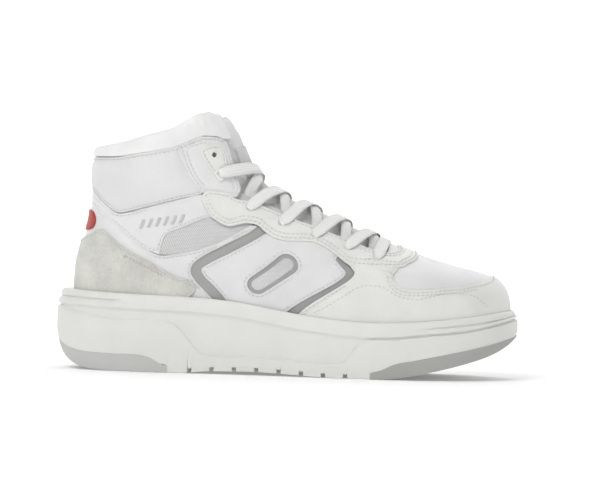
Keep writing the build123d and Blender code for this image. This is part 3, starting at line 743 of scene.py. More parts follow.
M = {
    "warm": leather("leather_warm", (0.80, 0.80, 0.775), 0.40),
    "cool": leather("leather_cool", (0.775, 0.775, 0.775), 0.40),
    "tumbled": leather("leather_tumbled", (0.745, 0.745, 0.745), 0.46, 0.35, 1.5),
    "soft": leather("collar_leather", (0.83, 0.83, 0.825), 0.5, 0.18, 1.1),
    "grey": woven("underlay_grey", (0.45, 0.45, 0.445), 1.0, 0.7, 0.0002, rough=0.8),
    "suede": suede_material("suede", (0.68, 0.68, 0.63)),
    "mesh": woven("mesh_textile", (0.80, 0.80, 0.80), 1.2, 0.62, 0.0006),
    "window": woven("window_mesh", (0.84, 0.84, 0.84), 1.15, 0.66, 0.0005),
    "lining": woven("lining_textile", (0.72, 0.72, 0.72), 1.2, 0.75, 0.0003),
    "tongue": woven("tongue_textile", (0.80, 0.80, 0.80), 1.3, 0.8, 0.0003),
    "lace": woven("lace_textile", (0.90, 0.90, 0.885), 0.9, 0.88, 0.0003),
    "webbing": woven("webbing", (0.78, 0.78, 0.775), 1.0, 0.7, 0.0003, angle=0),
    "bed": woven("sockliner", (0.70, 0.70, 0.70), 1.4, 0.78, 0.0002),
    # the threads' grey, darker than the leather, is partly their own tone and partly painted shade of the
    # stitch lines
    "thread": rubber("thread", (0.66, 0.66, 0.65), 0.6, 0.2),
    "dark_thread": rubber("dark_thread", (0.47, 0.47, 0.43), 0.6, 0.2),
    "print": rubber("print_grey", (0.56, 0.56, 0.56), 0.5, 0.2),
    "red": rubber("badge_red", (0.42, 0.045, 0.035), 0.45, 0.25),
    "midsole": rubber("midsole_rubber", (0.79, 0.79, 0.765), 0.5),
    "light": rubber("outsole_light", (0.58, 0.58, 0.565), 0.55, 0.4, tread=True),
    "dark": rubber("outsole_dark", (0.43, 0.433, 0.415), 0.55, 0.4, tread=True),
    "foam": rubber("foam", (0.7, 0.7, 0.66), 0.9, 0.6),
    "board": rubber("board", (0.66, 0.64, 0.58), 0.9, 0.5),
}
CAD_LOOK = {"quarter_lining": "lining", "collar_foam": "foam", "toe_lining": "lining", "toe_puff": "board",
            "heel_counter": "board", "strobel_board": "board", "midsole_foam_core": "foam",
            "outsole_heel_pad": "light", "outsole_toe_pad": "dark"}


def paint_cad():
    """Materials for the CAD nodes that still show."""
    for name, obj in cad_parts.items():
        base = name.replace("_lateral", "").replace("_medial", "")
        obj.data.materials.clear()
        obj.data.materials.append(M[CAD_LOOK.get(base, "cool")])
        obj.data.polygons.foreach_set("use_smooth", [True] * len(obj.data.polygons))
        obj.data.set_sharp_from_angle(angle=math.radians(30))


# ---------------------------------------------- the upper's panels
COLLAR_SEAM = [(18, 137.7), (28, 138.1), (38, 138.6), (48, 140.5), (60, 142.7), (70, 144.7), (79, 147.7),
               (88, 151.3), (96, 153.7), (102, 153.7), (107, 151.7)]
EYELETS = [tuple(map(float, settled(x, z))) for x, z in
           [(101.7, 143.5), (106.2, 132.5), (126, 110.3), (147, 101.3), (168, 94), (188, 86.6), (207, 80.2)]]
EYELET_R = 2.3


SEAM_GAP = 0.8  # the panels and the lining end this far under the collar seam


def seam_points(x0, x1, n):
    """Points along the collar seam, raised by what settled() drops them."""
    return [(float(x), float(curve(COLLAR_SEAM, x) + SETTLE[-1][1] - SEAM_GAP))
            for x in np.linspace(x0, x1, n)]


def eyelet_hole(chart, i, side, r=EYELET_R):
    """A round hole at an eyelet, drawn in the surface's own frame."""
    x, z = EYELETS[i]
    t = float(around(z, x, side))
    e = 0.02
    centre = skin(z, t, 0)
    up, along = (skin(z + e, t, 0) - centre) / e, (skin(z, t + e, 0) - centre) / e
    k = along / np.linalg.norm(along)
    v = up - k * np.dot(up, k)
    v /= np.linalg.norm(v)
    ring = []
    for a in np.linspace(0, 2 * np.pi, 28, endpoint=False):
        want = r * (math.cos(a) * k + math.sin(a) * v)
        dz, dt = np.linalg.lstsq(np.stack([up, along], 1), want, rcond=None)[0]
        ring.append((z + dz, t + dt))
    return chart.to(*np.array(ring).T)


def stadium(a, b, r):
    """A closed outline round a slot from a to b with round ends."""
    a, b = np.array(a, float), np.array(b, float)
    lean = math.atan2(*(b - a)[::-1])
    half_turns = (b, lean - math.pi / 2), (a, lean + math.pi / 2)
    out = [c + r * np.array([math.cos(g), math.sin(g)]) for c, start in half_turns
           for g in np.linspace(start, start + math.pi, 14)]
    ring = np.array(out + out[:1])
    s = lengths(ring)
    return at_lengths(np.linspace(0, s[-1], 90, endpoint=False), s, ring)


CHANNEL_REAR = [(131, 99.5), (110.5, 87), (96, 78), (91.3, 72), (92, 67), (95, 62), (100, 53.5), (105, 45),
                (108, 38)]
REAR_TAB = [("heel", 110.3), (22.8, 110), (30.4, 102.4), (42, 94.8), (53.7, 86), (60.6, 81.8), (67.6, 79),
            (79.3, 80.2), (94.4, 83.6), (107, 88.6), (117, 94.2), (126, 99.5, "c"), *CHANNEL_REAR[:-1],
            (108, 38, "c"), (92, 40), (80, 50), (60, 68), (45, 76), (30, 84), (20, 86), ("heel", 84)]
CENTRE_PANEL = [(136.5, 95, "c"), (114, 82), (100.5, 73.5), (98, 70.2), (99.8, 66), (106, 56.5), (111, 47.5),
                lasted_corner(114.5), *lasted(120, 142, 4), lasted_corner(147), (150, 41),
                (181, 79.5, "c"), (181, 86), (166, 95), (150, 96), (142, 98)]
MUDGUARD = [lasted_corner(155), (158.5, 41), (189, 77.5), (192, 79), (215, 78), (222, 77.5, "c"),
            (221, 73.5), (218, 69), (219, 64.5), (222, 61.3), (227, 59.8), (237.3, 59.8), (248, 61),
            (259, 61.8), (270, 63), (278, 64.2), ("toe", 280.5)]
EYESTAY_OUT = [(94.8, 114, "c"), (100.4, 105.3), (107, 101), (113, 98.8), (118, 99.7), (124, 101),
               (130, 100.2), (136, 96.2), (143, 92.2), (150, 90.6), (166, 90.2), (173, 87.4), (181, 82),
               (188, 76.8), (193, 75), (215, 74.4), (223.5, 74.8), (228, 77.2), ("toe", 232.5)]
EYESTAY_IN = [("toe", 219), (217.5, 83.6), (214, 83.3), (208, 84), (188, 91.2), (168, 98.6), (147, 105.8),
              (126, 113.8), (117, 115.6), (112, 119), (104, 120.8), (96, 121.5, "c")]
HEEL_OVERLAY = [("heel", 87), (21, 90.2), (28.6, 94.4), (34.8, 90.4), (45.5, 82.6), (60.6, 74.8), (71, 68.2),
                (81.6, 63.3), (88.6, 62.9), (94.4, 58.4), (93.2, 53.8), (88, 49.5), (84, 44), (82, 38, "c"),
                *lasted(74, 20, 8)]
UNDERLAY = [lasted_corner(86), (80, 52), (78, 66), (84, 78), (96, 86), (112, 93), (128, 101), (142, 99),
            (166, 92), (190, 80), (196, 74, "c"), (190, 62), (176, 48), lasted_corner(168),
            *lasted(160, 94, 8)]
MESH_INSERT = [(63, 79.5, "c"), (78, 79.2), (94, 81.5), (110, 87), (124, 95), (128, 101), (116, 103),
               (104, 107.5), (86, 101.5), (70, 95.5), (64, 88)]
COLLAR_PANEL = [("heel", 119), (23.3, 118), (30, 111), (39, 105.2), (46.9, 106), (58, 109), (69.3, 112.3),
                (80.5, 115.4), (95, 119.3), (97.4, 122, "c"), (78.8, 149.4, "c"), *seam_points(74, 20, 12),
                ("heel", 139.2)]
ANKLE_BAND = [("heel", 110.5), (22.8, 110), (30.4, 102.4), (42, 94.8), (53.7, 86), (60.6, 81.8),
              (67.8, 79.2, "c"), (69.6, 86), (73, 92.8), (84, 97.8), (94, 102), (103.5, 105, "c"),
              (105, 108), (100, 119.3, "c"), (95, 118.8), (80.5, 114.9), (69.3, 111.8), (58, 108.5),
              (46.9, 105.5), (39, 104.7), (30, 110.5), (23.3, 117.5), ("heel", 118.5)]
ANKLE_FLAP = [(97.4, 118.8, "c"), (78.9, 149.6, "c"), *seam_points(82, 107, 9), (109, 151.6), (112, 145),
              (119, 125), (117.5, 117, "c"), (108, 117.2)]
EYELET_PATCH = [(92.9, 145.6), (97.9, 148.9), (102.8, 149.7), (106.3, 148.6), (107.8, 144.7), (109.9, 137),
                (106.3, 127), (102.8, 131), (95, 141.4)]
BADGE = [("heel", 106), (19, 106), (23.6, 104.4), (25, 99.5), (23.6, 95), (19, 93), ("heel", 93)]
WINDOW = (131, 60.5), (150, 75.5)  # the ends of the slot in the centre panel
WAVE = [(167, 41), (175.6, 46), (186.5, 54), (194, 59.6), (199.4, 61.7), (205, 61.9), (212.4, 60.6),
        (219, 56), (225.4, 53.6), (232, 52.9), (240.5, 54.4), (248, 56.6), (255.7, 57.6), (263.3, 57.2),
        (269.8, 55.3), (275, 51.2), (279.5, 46)]


def rear_quarter():
    """The leather round the heel, up to the channel behind the centre panels."""
    dress("rear_quarter", outline(HEEL, REAR_TAB), HEEL, PANEL, M["cool"],
          rows=[(1.7, lambda x, z: (x > 62) & (z > 52) & ~((x > 118) & (z > 93)))],
          replaces=("heel_tab", "quarter_rear_lateral", "quarter_rear_medial"))


def mudguard():
    """The leather round the toe: its top line from side to side, then back along the hidden lower edge."""
    run = [(e, LATERAL) for e in MUDGUARD] + [(e, MEDIAL) for e in MUDGUARD[-2::-1]]
    for side, xs in ((MEDIAL, np.linspace(160, 291, 24)), (LATERAL, np.linspace(291, 160, 24))):
        run += [(("low", x), side) for x in xs]
    dress("mudguard_panel", closed_line(TOE, run), TOE, OVERLAY, M["warm"],
          rows=[(1.8, lambda x, z: (z > rim_z(x) + 3) & (x > 214) & (z < 68.5)),
                (3.5, lambda x, z: (z > rim_z(x) + 6) & (x > 211) & (z < 67.5)),
                (1.8, lambda x, z: (z > rim_z(x) + 2) & (x < 190))],
          replaces=("mudguard",))


def below_eyelets(x, z):
    """Keeps a stitch row on the outer side of the eyelets."""
    low = curve([(94, 112), (113, 105), (136, 101), (150, 97), (188, 84), (227, 77.5)], x)
    return (z < low) & (x < 232)


def eyestays():
    """The U of the eyestays: round the throat on the outside, then back along its inner edge."""
    run = [(e, LATERAL) for e in EYESTAY_OUT] + [(e, MEDIAL) for e in EYESTAY_OUT[-2::-1]]
    run += [(e, MEDIAL) for e in EYESTAY_IN[::-1]] + [(e, LATERAL) for e in EYESTAY_IN[1:]]
    dress("eyestay_panel", closed_line(THROAT, run), THROAT, OVERLAY, M["warm"],
          holes=[eyelet_hole(THROAT, i, side) for i in range(2, len(EYELETS)) for side, _ in BOTH],
          rows=[(1.9, everywhere), (4.4, below_eyelets)],
          replaces=("eyestay_lateral", "eyestay_medial", "eyestay_front"))


def heel_and_collar():
    """The pieces that run round the heel from one side to the other."""
    dress("heel_overlay_suede", outline(HEEL, HEEL_OVERLAY), HEEL, SUEDE, M["suede"],
          rows=[(1.8, lambda x, z: z > rim_z(x) + 2)], replaces=("heel_overlay",))
    dress("heel_badge_red", outline(COLLAR, BADGE), COLLAR, (1.3, 2.3), M["red"], replaces=("heel_badge",),
          cell=1.2, pitch=0.8)
    dress("collar_panel_leather", outline(COLLAR, COLLAR_PANEL), COLLAR, PANEL, M["tumbled"], puff=1.0,
          rows=[(1.6, lambda x, z: z < 123)], replaces=("collar_panel_lateral", "collar_panel_medial"))
    dress("ankle_band_leather", outline(COLLAR, ANKLE_BAND), COLLAR, PANEL, M["cool"],
          rows=[(1.6, lambda x, z: (x > 34) & (z < 104.5) & (x < 100))],
          replaces=("ankle_band_lateral", "ankle_band_medial"))


def centre_panel(side, tag):
    """The quarter's middle panel with its mesh window."""
    window, row, mesh = (on_form(stadium(*WINDOW, r), side) for r in (7, 9.0, 4.4))
    dress(f"centre_panel_{tag}", outline(HEEL, CENTRE_PANEL, side), HEEL, PANEL, M["cool"],
          holes=[HEEL.to(*window)], rows=[(1.7, lambda x, z: (z > rim_z(x) + 2) & (z < 88))],
          replaces=(f"quarter_centre_{tag}",))
    closed = [np.append(values, values[0]) for values in row]
    stitches(f"window_stitch_{tag}", [closed], PANEL[1] - 0.1, M["thread"])
    panel(f"mesh_window_{tag}", HEEL.to(*mesh), HEEL, (-0.15, 0.5), M["window"], cell=1.2, pitch=0.7,
          puff=0.5)


def ankle_flap(side, tag):
    """The flap beside the tongue and the patch round its two eyelets."""
    holes = [eyelet_hole(COLLAR, 0, side, 1.7), eyelet_hole(COLLAR, 1, side)]
    dress(f"ankle_flap_leather_{tag}", outline(COLLAR, ANKLE_FLAP, side), COLLAR, PANEL, M["cool"],
          holes=holes, puff=0.3,
          rows=[(1.6, lambda x, z: z > 121), (3.9, lambda x, z: (z > 121) & (x < 96))],
          replaces=(f"ankle_flap_{tag}",))
    dress(f"eyelet_reinforcement_{tag}", outline(COLLAR, EYELET_PATCH, side), COLLAR, OVERLAY, M["warm"],
          holes=holes, rows=[(1.5, everywhere)], replaces=(f"eyelet_patch_{tag}",), cell=1.4, pitch=0.9)


def under_panels(side, tag):
    """The grey cloth in the channel and the mesh behind it, both under the panels' edges."""
    dress(f"underlay_{tag}", outline(HEEL, UNDERLAY, side), HEEL, (-1.4, -0.15), M["grey"], cell=3.0,
          replaces=(f"side_underlay_{tag}",))
    dress(f"mesh_insert_cloth_{tag}", outline(COLLAR, MESH_INSERT, side), COLLAR, (-1.4, -0.1), M["mesh"],
          replaces=(f"mesh_insert_{tag}",), puff=0.25, cell=1.6)


def band_mark(side, tag):
    """A row of slanted raised bars along the ankle band."""
    for k in range(6):
        x, z = 56 + 5.1 * k, 98.6 + 0.8 * k
        bar = [(x - 1.2, z - 2.9, "c"), (x + 1.2, z - 2.9, "c"), (x + 3.4, z + 2.9, "c"),
               (x + 1.0, z + 2.9, "c")]
        panel(f"band_bar{k}_{tag}", outline(COLLAR, bar, side, per=0.4), COLLAR, (0.9, 1.5), M["print"],
              cell=0.9, pitch=0.5)


def fancy_stitches(side, tag):
    """A zigzag along the heel overlay's top edge, and the wave across the toe."""
    rungs = [(x + dx, float(curve(HEEL_OVERLAY[4:7], x)) - 5.2 + dz) for x in np.arange(44, 70, 2.2)
             for dx, dz in ((0, 1.3), (1.1, -1.3))]
    stitches(f"heel_zigzag_{tag}", [on_form(pair, side) for pair in zip(rungs, rungs[1:])], SUEDE[1] + 0.2,
             M["dark_thread"], pitch=2.0, share=1.1, r=0.26)
    stitches(f"wave_stitch_{tag}", [on_form(smooth_line(WAVE), side)], OVERLAY[1] - 0.02, M["thread"])


def vamp(rows=64, columns=121):
    """The dome over the toes, from the throat to the mudguard."""
    throat_x, toe_z = 214, 58  # its ends on the middle line
    k0 = np.searchsorted(-RIDGE_X[PAST_TOE:], -throat_x) + PAST_TOE
    k1 = np.searchsorted(RIDGE_Z, toe_z)
    top_z = np.interp(np.linspace(k0, k1, rows), np.arange(len(RIDGE_Z)), RIDGE_Z)
    foot_x, foot_z = np.linspace(172, 262, rows), np.linspace(48, 53, rows)
    w = np.linspace(-1, 1, columns)[None, :]
    z = top_z[:, None] + (foot_z - top_z)[:, None] * w**2
    t = np.pi + w * (np.pi - around(foot_z, foot_x, 1))[:, None]
    plate_mesh("vamp_leather", skin(z, t, PANEL[1]), skin(z, t, PANEL[0]), M["cool"], THROAT.to(z, t),
               "shoe", "vamp")


# ---------------------------------------------- the sole
HEEL_PAD_EDGE = [(-6, 23), (3, 17.5), (9, 14), (20, 11.8), (40, 11.1), (56, 10.9), (63, 9), (68.5, 6),
                 (73.8, 4.8)]
TOE_PAD_EDGE = [(204.8, 4), (212, 6), (220, 9.8), (232, 12.4), (253, 16.8), (275, 21.6), (290, 25.6),
                (306, 31)]
RIDGE_LINE = [(-6, 42), (1.7, 40), (11, 37), (26.6, 34.6), (42, 33.8), (68, 33.5), (74.5, 32.5), (81, 28.5),
              (87, 21.5), (93, 14.5), (99.4, 11.7), (110, 11.2), (130.6, 11), (158, 10), (182, 8.5),
              (187.6, 10.2), (192, 15.8), (197, 21.5), (203.8, 25), (221, 26), (243, 28.5), (264, 30.7),
              (286, 35.3), (306, 41)]
NOTCHES = [88.2 + 14.35 * i for i in range(8)]
WALL = 2.9  # from the form to the cup's inner wall
PIT = BED + 3.0  # from the rim down to the cup's floor
HEEL_PAD_END, TOE_PAD_START = 73.85, 204.75
NOTCH_DEPTH, HALF_NOTCH = 8.0, 1.3
TUCK = ([-1, 6, 14, 34, 60], [3.2, 1.2, 0, 0, 0.6])  # height, and how far the wall is drawn in there


def form_outline(t, out):
    """The form's outline in plan at the cup's height, moved outward."""
    return offset_line(form(np.full_like(t, 28.0), t)[:, :2], out)


def wall_rows(x, base, ridge, rim):
    """(height, inset) of each ring up the sole's side: lower band, raised line, wall, groove and top edge."""
    groove = np.maximum(1 - step(x, 36, 48), step(x, 232, 246))
    rows = [(base + s * (ridge - 0.9 - base), 0) for s in (0, 0.12, 0.3, 0.5, 0.7, 0.88, 1.0)]
    rows += [(ridge - 0.4, 0.2), (ridge, 1.3), (ridge + 0.5, 1.9)]
    top = np.maximum(rim - 11.0, ridge + 1.2)
    rows += [(ridge + 0.5 + share * (top - ridge - 0.5), 2.0) for share in (0.15, 0.4, 0.65, 0.88, 1.0)]
    for dz, inset, cut in ((-10.0, 1.2, 0), (-9.2, 0.35, 0), (-8.4, 0.3, 0), (-7.0, 0.6, 0),
                           (-6.0, 0.9, 0.1), (-5.5, 1.05, 0.9), (-5.0, 1.2, 1.3), (-4.5, 1.3, 0.9),
                           (-4.0, 1.45, 0.1), (-2.6, 1.9, 0), (-1.5, 2.2, 0), (-0.8, 2.6, 0),
                           (-0.3, 3.1, 0), (0, 3.7, 0)):
        rows.append((np.maximum(rim + dz, top + 0.3 * (dz + 11.0)), inset + cut * groove))
    return rows


def sole():
    """The cupsole in rings: from under its middle out, up its side, over the rim and down to its floor."""
    # extra columns keep the ends of the notches and of the two pads sharp
    edges = [c + d for c in NOTCHES for d in (-1.45, -1.15, 1.15, 1.45)] + [73.75, 73.95, 204.6, 204.9]
    at_edges = [math.acos(1 - 2 * x / LENGTH) for x in edges]
    t = np.sort([*np.linspace(0, 2 * np.pi, 560, endpoint=False), *at_edges,
                 *(2 * math.pi - a for a in at_edges)])
    n = len(t)
    x = LENGTH * (1 - np.cos(t)) / 2
    ground, rim = curve(GROUND, x), rim_z(x)
    pads = np.where(x < HEEL_PAD_END, curve(HEEL_PAD_EDGE, x),
                    np.where(x > TOE_PAD_START, curve(TOE_PAD_EDGE, x), ground))
    base = np.maximum(pads, ground + 0.02)
    ridge = np.maximum(curve(RIDGE_LINE, x), base + 2.5)
    grid = np.array([np.column_stack([sole_outline(t, np.interp(z, *TUCK) + inset * np.ones(n)), z])
                     for z, inset in wall_rows(x, base, ridge, rim)])
    # notches in the lower edge between the two pads
    inward = sole_outline(t, NOTCH_DEPTH)
    lip_line = sole_outline(t, np.interp(ground + 2.7, TUCK[0][:2], TUCK[1][:2]))
    for c in NOTCHES:
        cut = np.abs(x - c) < HALF_NOTCH
        for i, (height, line) in enumerate(((0.02, inward), (1.3, inward), (2.5, inward), (2.7, lip_line))):
            grid[i, cut, 2] = (ground + height)[cut]
            grid[i, cut, :2] = line[cut]
    inner = form_outline(t, WALL)
    rim_in = rim_z(inner[:, 0])
    lip = np.column_stack([0.5 * (grid[-1][:, :2] + inner), (rim + rim_in) / 2])
    wall = [np.column_stack([inner, rim_in - deep]) for deep in (0.25, 3, PIT)]
    centre = np.column_stack([x, curve(CENTRE, x)])
    floor = []
    for s in (0.3, 0.6, 0.85, 0.985):
        xy = inner + (centre - inner) * s
        floor.append(np.column_stack([xy, rim_z(xy[:, 0]) - PIT]))
    foot = grid[0][:, :2]
    under = [np.column_stack([foot + (centre - foot) * s, base])
             for s in (0.985, 0.85, 0.6, 0.35, 0.15, 0.04)]
    rings = [*under, *grid, lip, *wall, *floor]
    faces = grid_faces(len(rings), n, wrap_cols=True) + cap_faces(0, n) + cap_faces((len(rings) - 1) * n, n)
    obj = new_mesh("midsole_cupsole", np.concatenate(rings) - ORIGIN, faces, M["midsole"])
    fitted(obj, "shoe", "midsole_cup")
    obj.data.set_sharp_from_angle(angle=math.radians(42))


# ---------------------------------------------- laces
LACE_W, LACE_T = 8.0, 1.3
LACE_NARROW = 4.0  # its width in an eyelet
DIVE_REACH, DIVE_DEPTH = 1.6, 6.4
LACE_TOP, LACE_UNDER = 3.2, -3.9
CROSS_LOWER = [(0, LACE_UNDER), (0.14, LACE_UNDER), (0.28, -0.8), (0.4, 1.4), (0.5, 1.6), (0.62, 1.7),
               (0.76, 2.8), (0.86, LACE_TOP), (1, LACE_TOP)]
CROSS_UPPER = [(0, LACE_UNDER), (0.14, LACE_UNDER), (0.26, 0.0), (0.38, 2.9), (0.5, 3.15), (0.62, 3.15),
               (0.76, 3.2), (0.86, LACE_TOP), (1, LACE_TOP)]
LACE_BAR = [(0, LACE_TOP), (0.2, LACE_TOP), (0.35, 2.6), (0.5, 2.0), (0.65, 2.6), (0.8, LACE_TOP),
            (1, LACE_TOP)]


def nearest_ridge(i):
    """The middle line's point nearest to an eyelet."""
    return int(np.argmin(np.hypot(RIDGE_X - EYELETS[i][0], RIDGE_Z - EYELETS[i][1])))


def lace_path(i, j, side, depths, dive_start, dive_end, n=70):
    """Middle points and width directions of one pass of the lace, with its dives through the eyelets."""
    (z0, t0), (z1, t1) = ((EYELETS[k][1], float(around(*EYELETS[k][::-1], s)) % (2 * math.pi))
                          for k, s in ((i, side), (j, -side)))
    crown = RIDGE_Z[(nearest_ridge(i) + nearest_ridge(j)) // 2]
    s = np.linspace(0, 1, n)
    z = z0 + (z1 - z0) * s + 4 * s * (1 - s) * (crown - (z0 + z1) / 2)
    t = t0 + (t1 - t0) * s
    d = curve(depths, s)
    mid = skin(z, t, d)
    up = unit(skin(z, t, d + 1) - mid)
    run = unit(np.gradient(mid, axis=0))
    wide = unit(np.cross(up, run))
    for end, dive in ((0, dive_start), (-1, dive_end)):
        if not dive:
            continue
        turn = np.linspace(0, 1, 9)[1:, None] * np.pi / 2
        out = run[end] * (DIVE_REACH if end else -DIVE_REACH)
        extra = mid[end] + np.sin(turn) * out - up[end] * DIVE_DEPTH * (1 - np.cos(turn))
        w = np.repeat(wide[end][None], len(turn), 0)
        if end:
            mid, wide = np.vstack([mid, extra]), np.vstack([wide, w])
        else:
            mid, wide = np.vstack([extra[::-1], mid]), np.vstack([w, wide])
    return mid, wide


def power(value, exponent):
    """A power that keeps the sign of its value."""
    return math.copysign(abs(value) ** exponent, value)


def lace_mesh(name, mid, wide, narrow, sides=20):
    """A flat woven band with round edges, drawn in at its ends where it enters the eyelets."""
    s = lengths(mid)
    u = np.linspace(0, s[-1], max(30, int(s[-1] / 0.7)))
    mid, wide = at_lengths(u, s, mid), at_lengths(u, s, wide)
    run = unit(np.gradient(mid, axis=0))
    wide = unit(wide - run * (wide * run).sum(1)[:, None])
    up = np.cross(run, wide)
    width = np.full(len(u), LACE_W)
    for end, on in zip((u, u[-1] - u), narrow):
        if on:
            width = np.minimum(width, LACE_NARROW + (LACE_W - LACE_NARROW) * step(end, 3.0, 11.0))
    thick = LACE_T * (1 + 0.35 * (LACE_W - width) / LACE_W)
    sway = 0.25 * np.sin(u / 6.3 + len(name)) + 0.15 * np.sin(u / 2.9)
    turn = np.linspace(0, 2 * np.pi, sides, endpoint=False)
    profile = [(power(math.cos(a), 0.55), power(math.sin(a), 0.8)) for a in turn]
    verts, uv = [], []
    for k in range(len(u)):
        for (a, b), g in zip(profile, np.linspace(0, 2 * LACE_W, sides, endpoint=False)):
            curl = 0.10 * (a * a) * np.sin(u[k] / 5.0)
            lift = b * thick[k] / 2 + curl * (1 + sway[k])
            verts.append(mid[k] + wide[k] * (a * width[k] / 2) + up[k] * lift)
            uv.append((g, u[k]))
    return fitted(new_mesh(name, verts, tube_faces(len(u), sides), M["lace"], np.array(uv)), "shoe")


def laces():
    """A bar at the lowest eyelets, then crossings up to the second pair from the top."""
    last = len(EYELETS) - 1
    obj = lace_mesh("lace_bar", *lace_path(last, last, MEDIAL, LACE_BAR, True, True), (True, True))
    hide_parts("lace")
    for i in range(last, 1, -1):
        lace_mesh(f"lace_lower{i}", *lace_path(i, i - 1, LATERAL, CROSS_LOWER, False, True), (False, True))
        lace_mesh(f"lace_upper{i}", *lace_path(i, i - 1, MEDIAL, CROSS_UPPER, False, True), (False, True))


# ---------------------------------------------- tongue, collar, linings
TONGUE_GAP = 5.2


def tongue_grid(rows, columns):
    """The tongue's z, t and depth under the form, and its shares u, from root to top, and w, across."""
    root_x, top_level = 226.0, 167.5
    k0 = np.searchsorted(-RIDGE_X[PAST_TOE:], -root_x) + PAST_TOE
    k = np.linspace(k0, np.searchsorted(RIDGE_Z, top_level), rows)
    u = np.linspace(0, 1, rows)
    top_z = np.interp(k, np.arange(len(RIDGE_Z)), RIDGE_Z)
    top_x = np.interp(k, np.arange(len(RIDGE_X)), RIDGE_X)
    drop = curve([(0, 8), (0.3, 14), (0.55, 14), (0.72, 9), (1, 2.5)], u)
    wing = curve([(0, 6), (0.3, 5), (0.5, 7), (0.62, 13), (0.75, 15), (0.9, 14), (1, 11.5)], u)
    w = np.linspace(-1, 1, columns)[None, :]
    z = top_z[:, None] - drop[:, None] * w**2
    corner = 1 - 0.42 * (np.clip(u - 0.93, 0, 1) / 0.07) ** 2.4
    t = np.pi + w * (corner * (np.pi - around(top_z - drop, top_x - wing, 1)))[:, None]
    side_depth = TONGUE_GAP * step(np.abs(w), 0.05, 0.62) + 0 * z
    front_depth = TONGUE_GAP * (1 - step(u, 0.02, 0.2))[:, None]
    return z, t, np.maximum(side_depth, front_depth), u[:, None] + 0 * z, w + 0 * z


def tongue():
    """The padded tongue, with a seam along its edge and soft creases near the top, and its webbing label."""
    z, t, deep, u, w = tongue_grid(110, 57)
    thick_middle, thin_by = 5.7, 1.6
    rounding, seam_at, seam_width = 0.16, 0.2, 0.035  # in half widths from the edge
    thick = thick_middle - thin_by * w**2
    edge = np.minimum(1 - np.abs(w), (1 - u) * 3.0)
    round_edge = np.clip(edge / rounding, 0, 1)
    puffed = np.sqrt(round_edge * (2 - round_edge))
    seam = np.exp(-(((edge - seam_at) / seam_width) ** 2))
    crease = 0.35 * np.sin(u * 60 + 3 * np.sin(w * 3)) * step(u, 0.74, 0.8) * (1 - step(u, 0.93, 1))
    middle = -deep - thick / 2 - 2.0 * step(u, 0.88, 1.0)
    half = thick / 2 * np.maximum(puffed, 0.3)
    outer = skin(z, t, middle + half - 0.45 * seam + 0.12 * crease)
    uv = np.stack([w * 25, u * 190], -1)
    obj = plate_mesh("tongue_padding", outer, skin(z, t, middle - half), M["tongue"], uv, "tongue",
                     "tongue_face", "tongue_foam", "tongue_lining")
    label = slice(79, 94), slice(16, 41)  # the rows and columns of the grid that it covers
    top, low = (skin(z, t, height - deep)[label] for height in (1.0, 0.1))
    plate_mesh("tongue_webbing", top, low, M["webbing"], uv[label], "tongue", "tongue_label")


ROLL_RISE = [(18, 5.4), (40, 8.6), (60, 10.6), (80, 11.6), (94, 13.2), (100, 14.2), (106, 15), (112, 15.5)]


def pad_depth(z, t):
    """How far the collar's padding pushes the lining in."""
    x = form(z.ravel(), t.ravel())[:, 0].reshape(z.shape)
    return 5.5 * step(z, 100, 128) * (1 - step(x, 76, 98))


def collar_roll():
    """The padded rim over the collar seam, as a closed tube with soft wrinkles across it."""
    columns, sides = 261, 36
    throat_z, throat_x = 152.0, 110.5
    t_end = float(around(throat_z, throat_x, 1))
    t = np.linspace(-1, 1, columns) * t_end
    x = form(np.full_like(t, 146.0), t)[:, 0]
    base, rise = curve(COLLAR_SEAM, x), curve(ROLL_RISE, x)
    depth = PANEL[1] + pad_depth(base, t) - LINING[0]
    ends = np.clip((t_end - np.abs(t)) / 0.13, 0, 1)
    close = np.sqrt(np.maximum(ends * (2 - ends), 0.04))
    rings = []
    for a in 2 * math.pi * np.arange(sides) / sides:
        ca, sa = math.cos(a), math.sin(a)
        up = (abs(sa) ** 0.8) * (rise if sa > 0 else -1.15)
        wrinkle = 0.22 * np.sin(t * 34 + 1.7 * np.sin(t * 9)) * max(sa, 0) * (0.4 + 0.6 * abs(ca))
        z = base + 0.55 + up * close + wrinkle * 0.5
        rings.append(skin(z, t, PANEL[1] - depth / 2
                          + power(ca, 0.72) * (depth / 2 + 0.25 + wrinkle) * close))
    total = sides * columns
    faces = [tuple(v % total for v in f) for f in grid_faces(sides + 1, columns)]
    faces += [tuple(range(0, total, columns)), tuple(range(columns - 1, total, columns))[::-1]]
    s = lengths(rings[0])
    uv = np.array([(along, j * 1.1) for j in range(sides) for along in s])
    obj = fitted(new_mesh("collar_roll_padding", np.concatenate(rings), faces, M["soft"], uv), "shoe",
                 "collar_roll")
    stitches("collar_seam_stitch", [(base - 2.2, t)], PANEL[1] + 0.05, M["thread"])


THROAT_LINE = [(109, 152), (113, 135), (116.5, 121), (121, 117.4), (130, 114), (142, 109.4), (162, 96.4)]
QUARTER_TOP = [(0, 96), (150, 96), (162, 95.8), (178, 92.6), (200, 84.8), (216, 79), (228.0, 75)]
LINING_STEP = 96.4  # where the ankle lining stands on the quarter lining


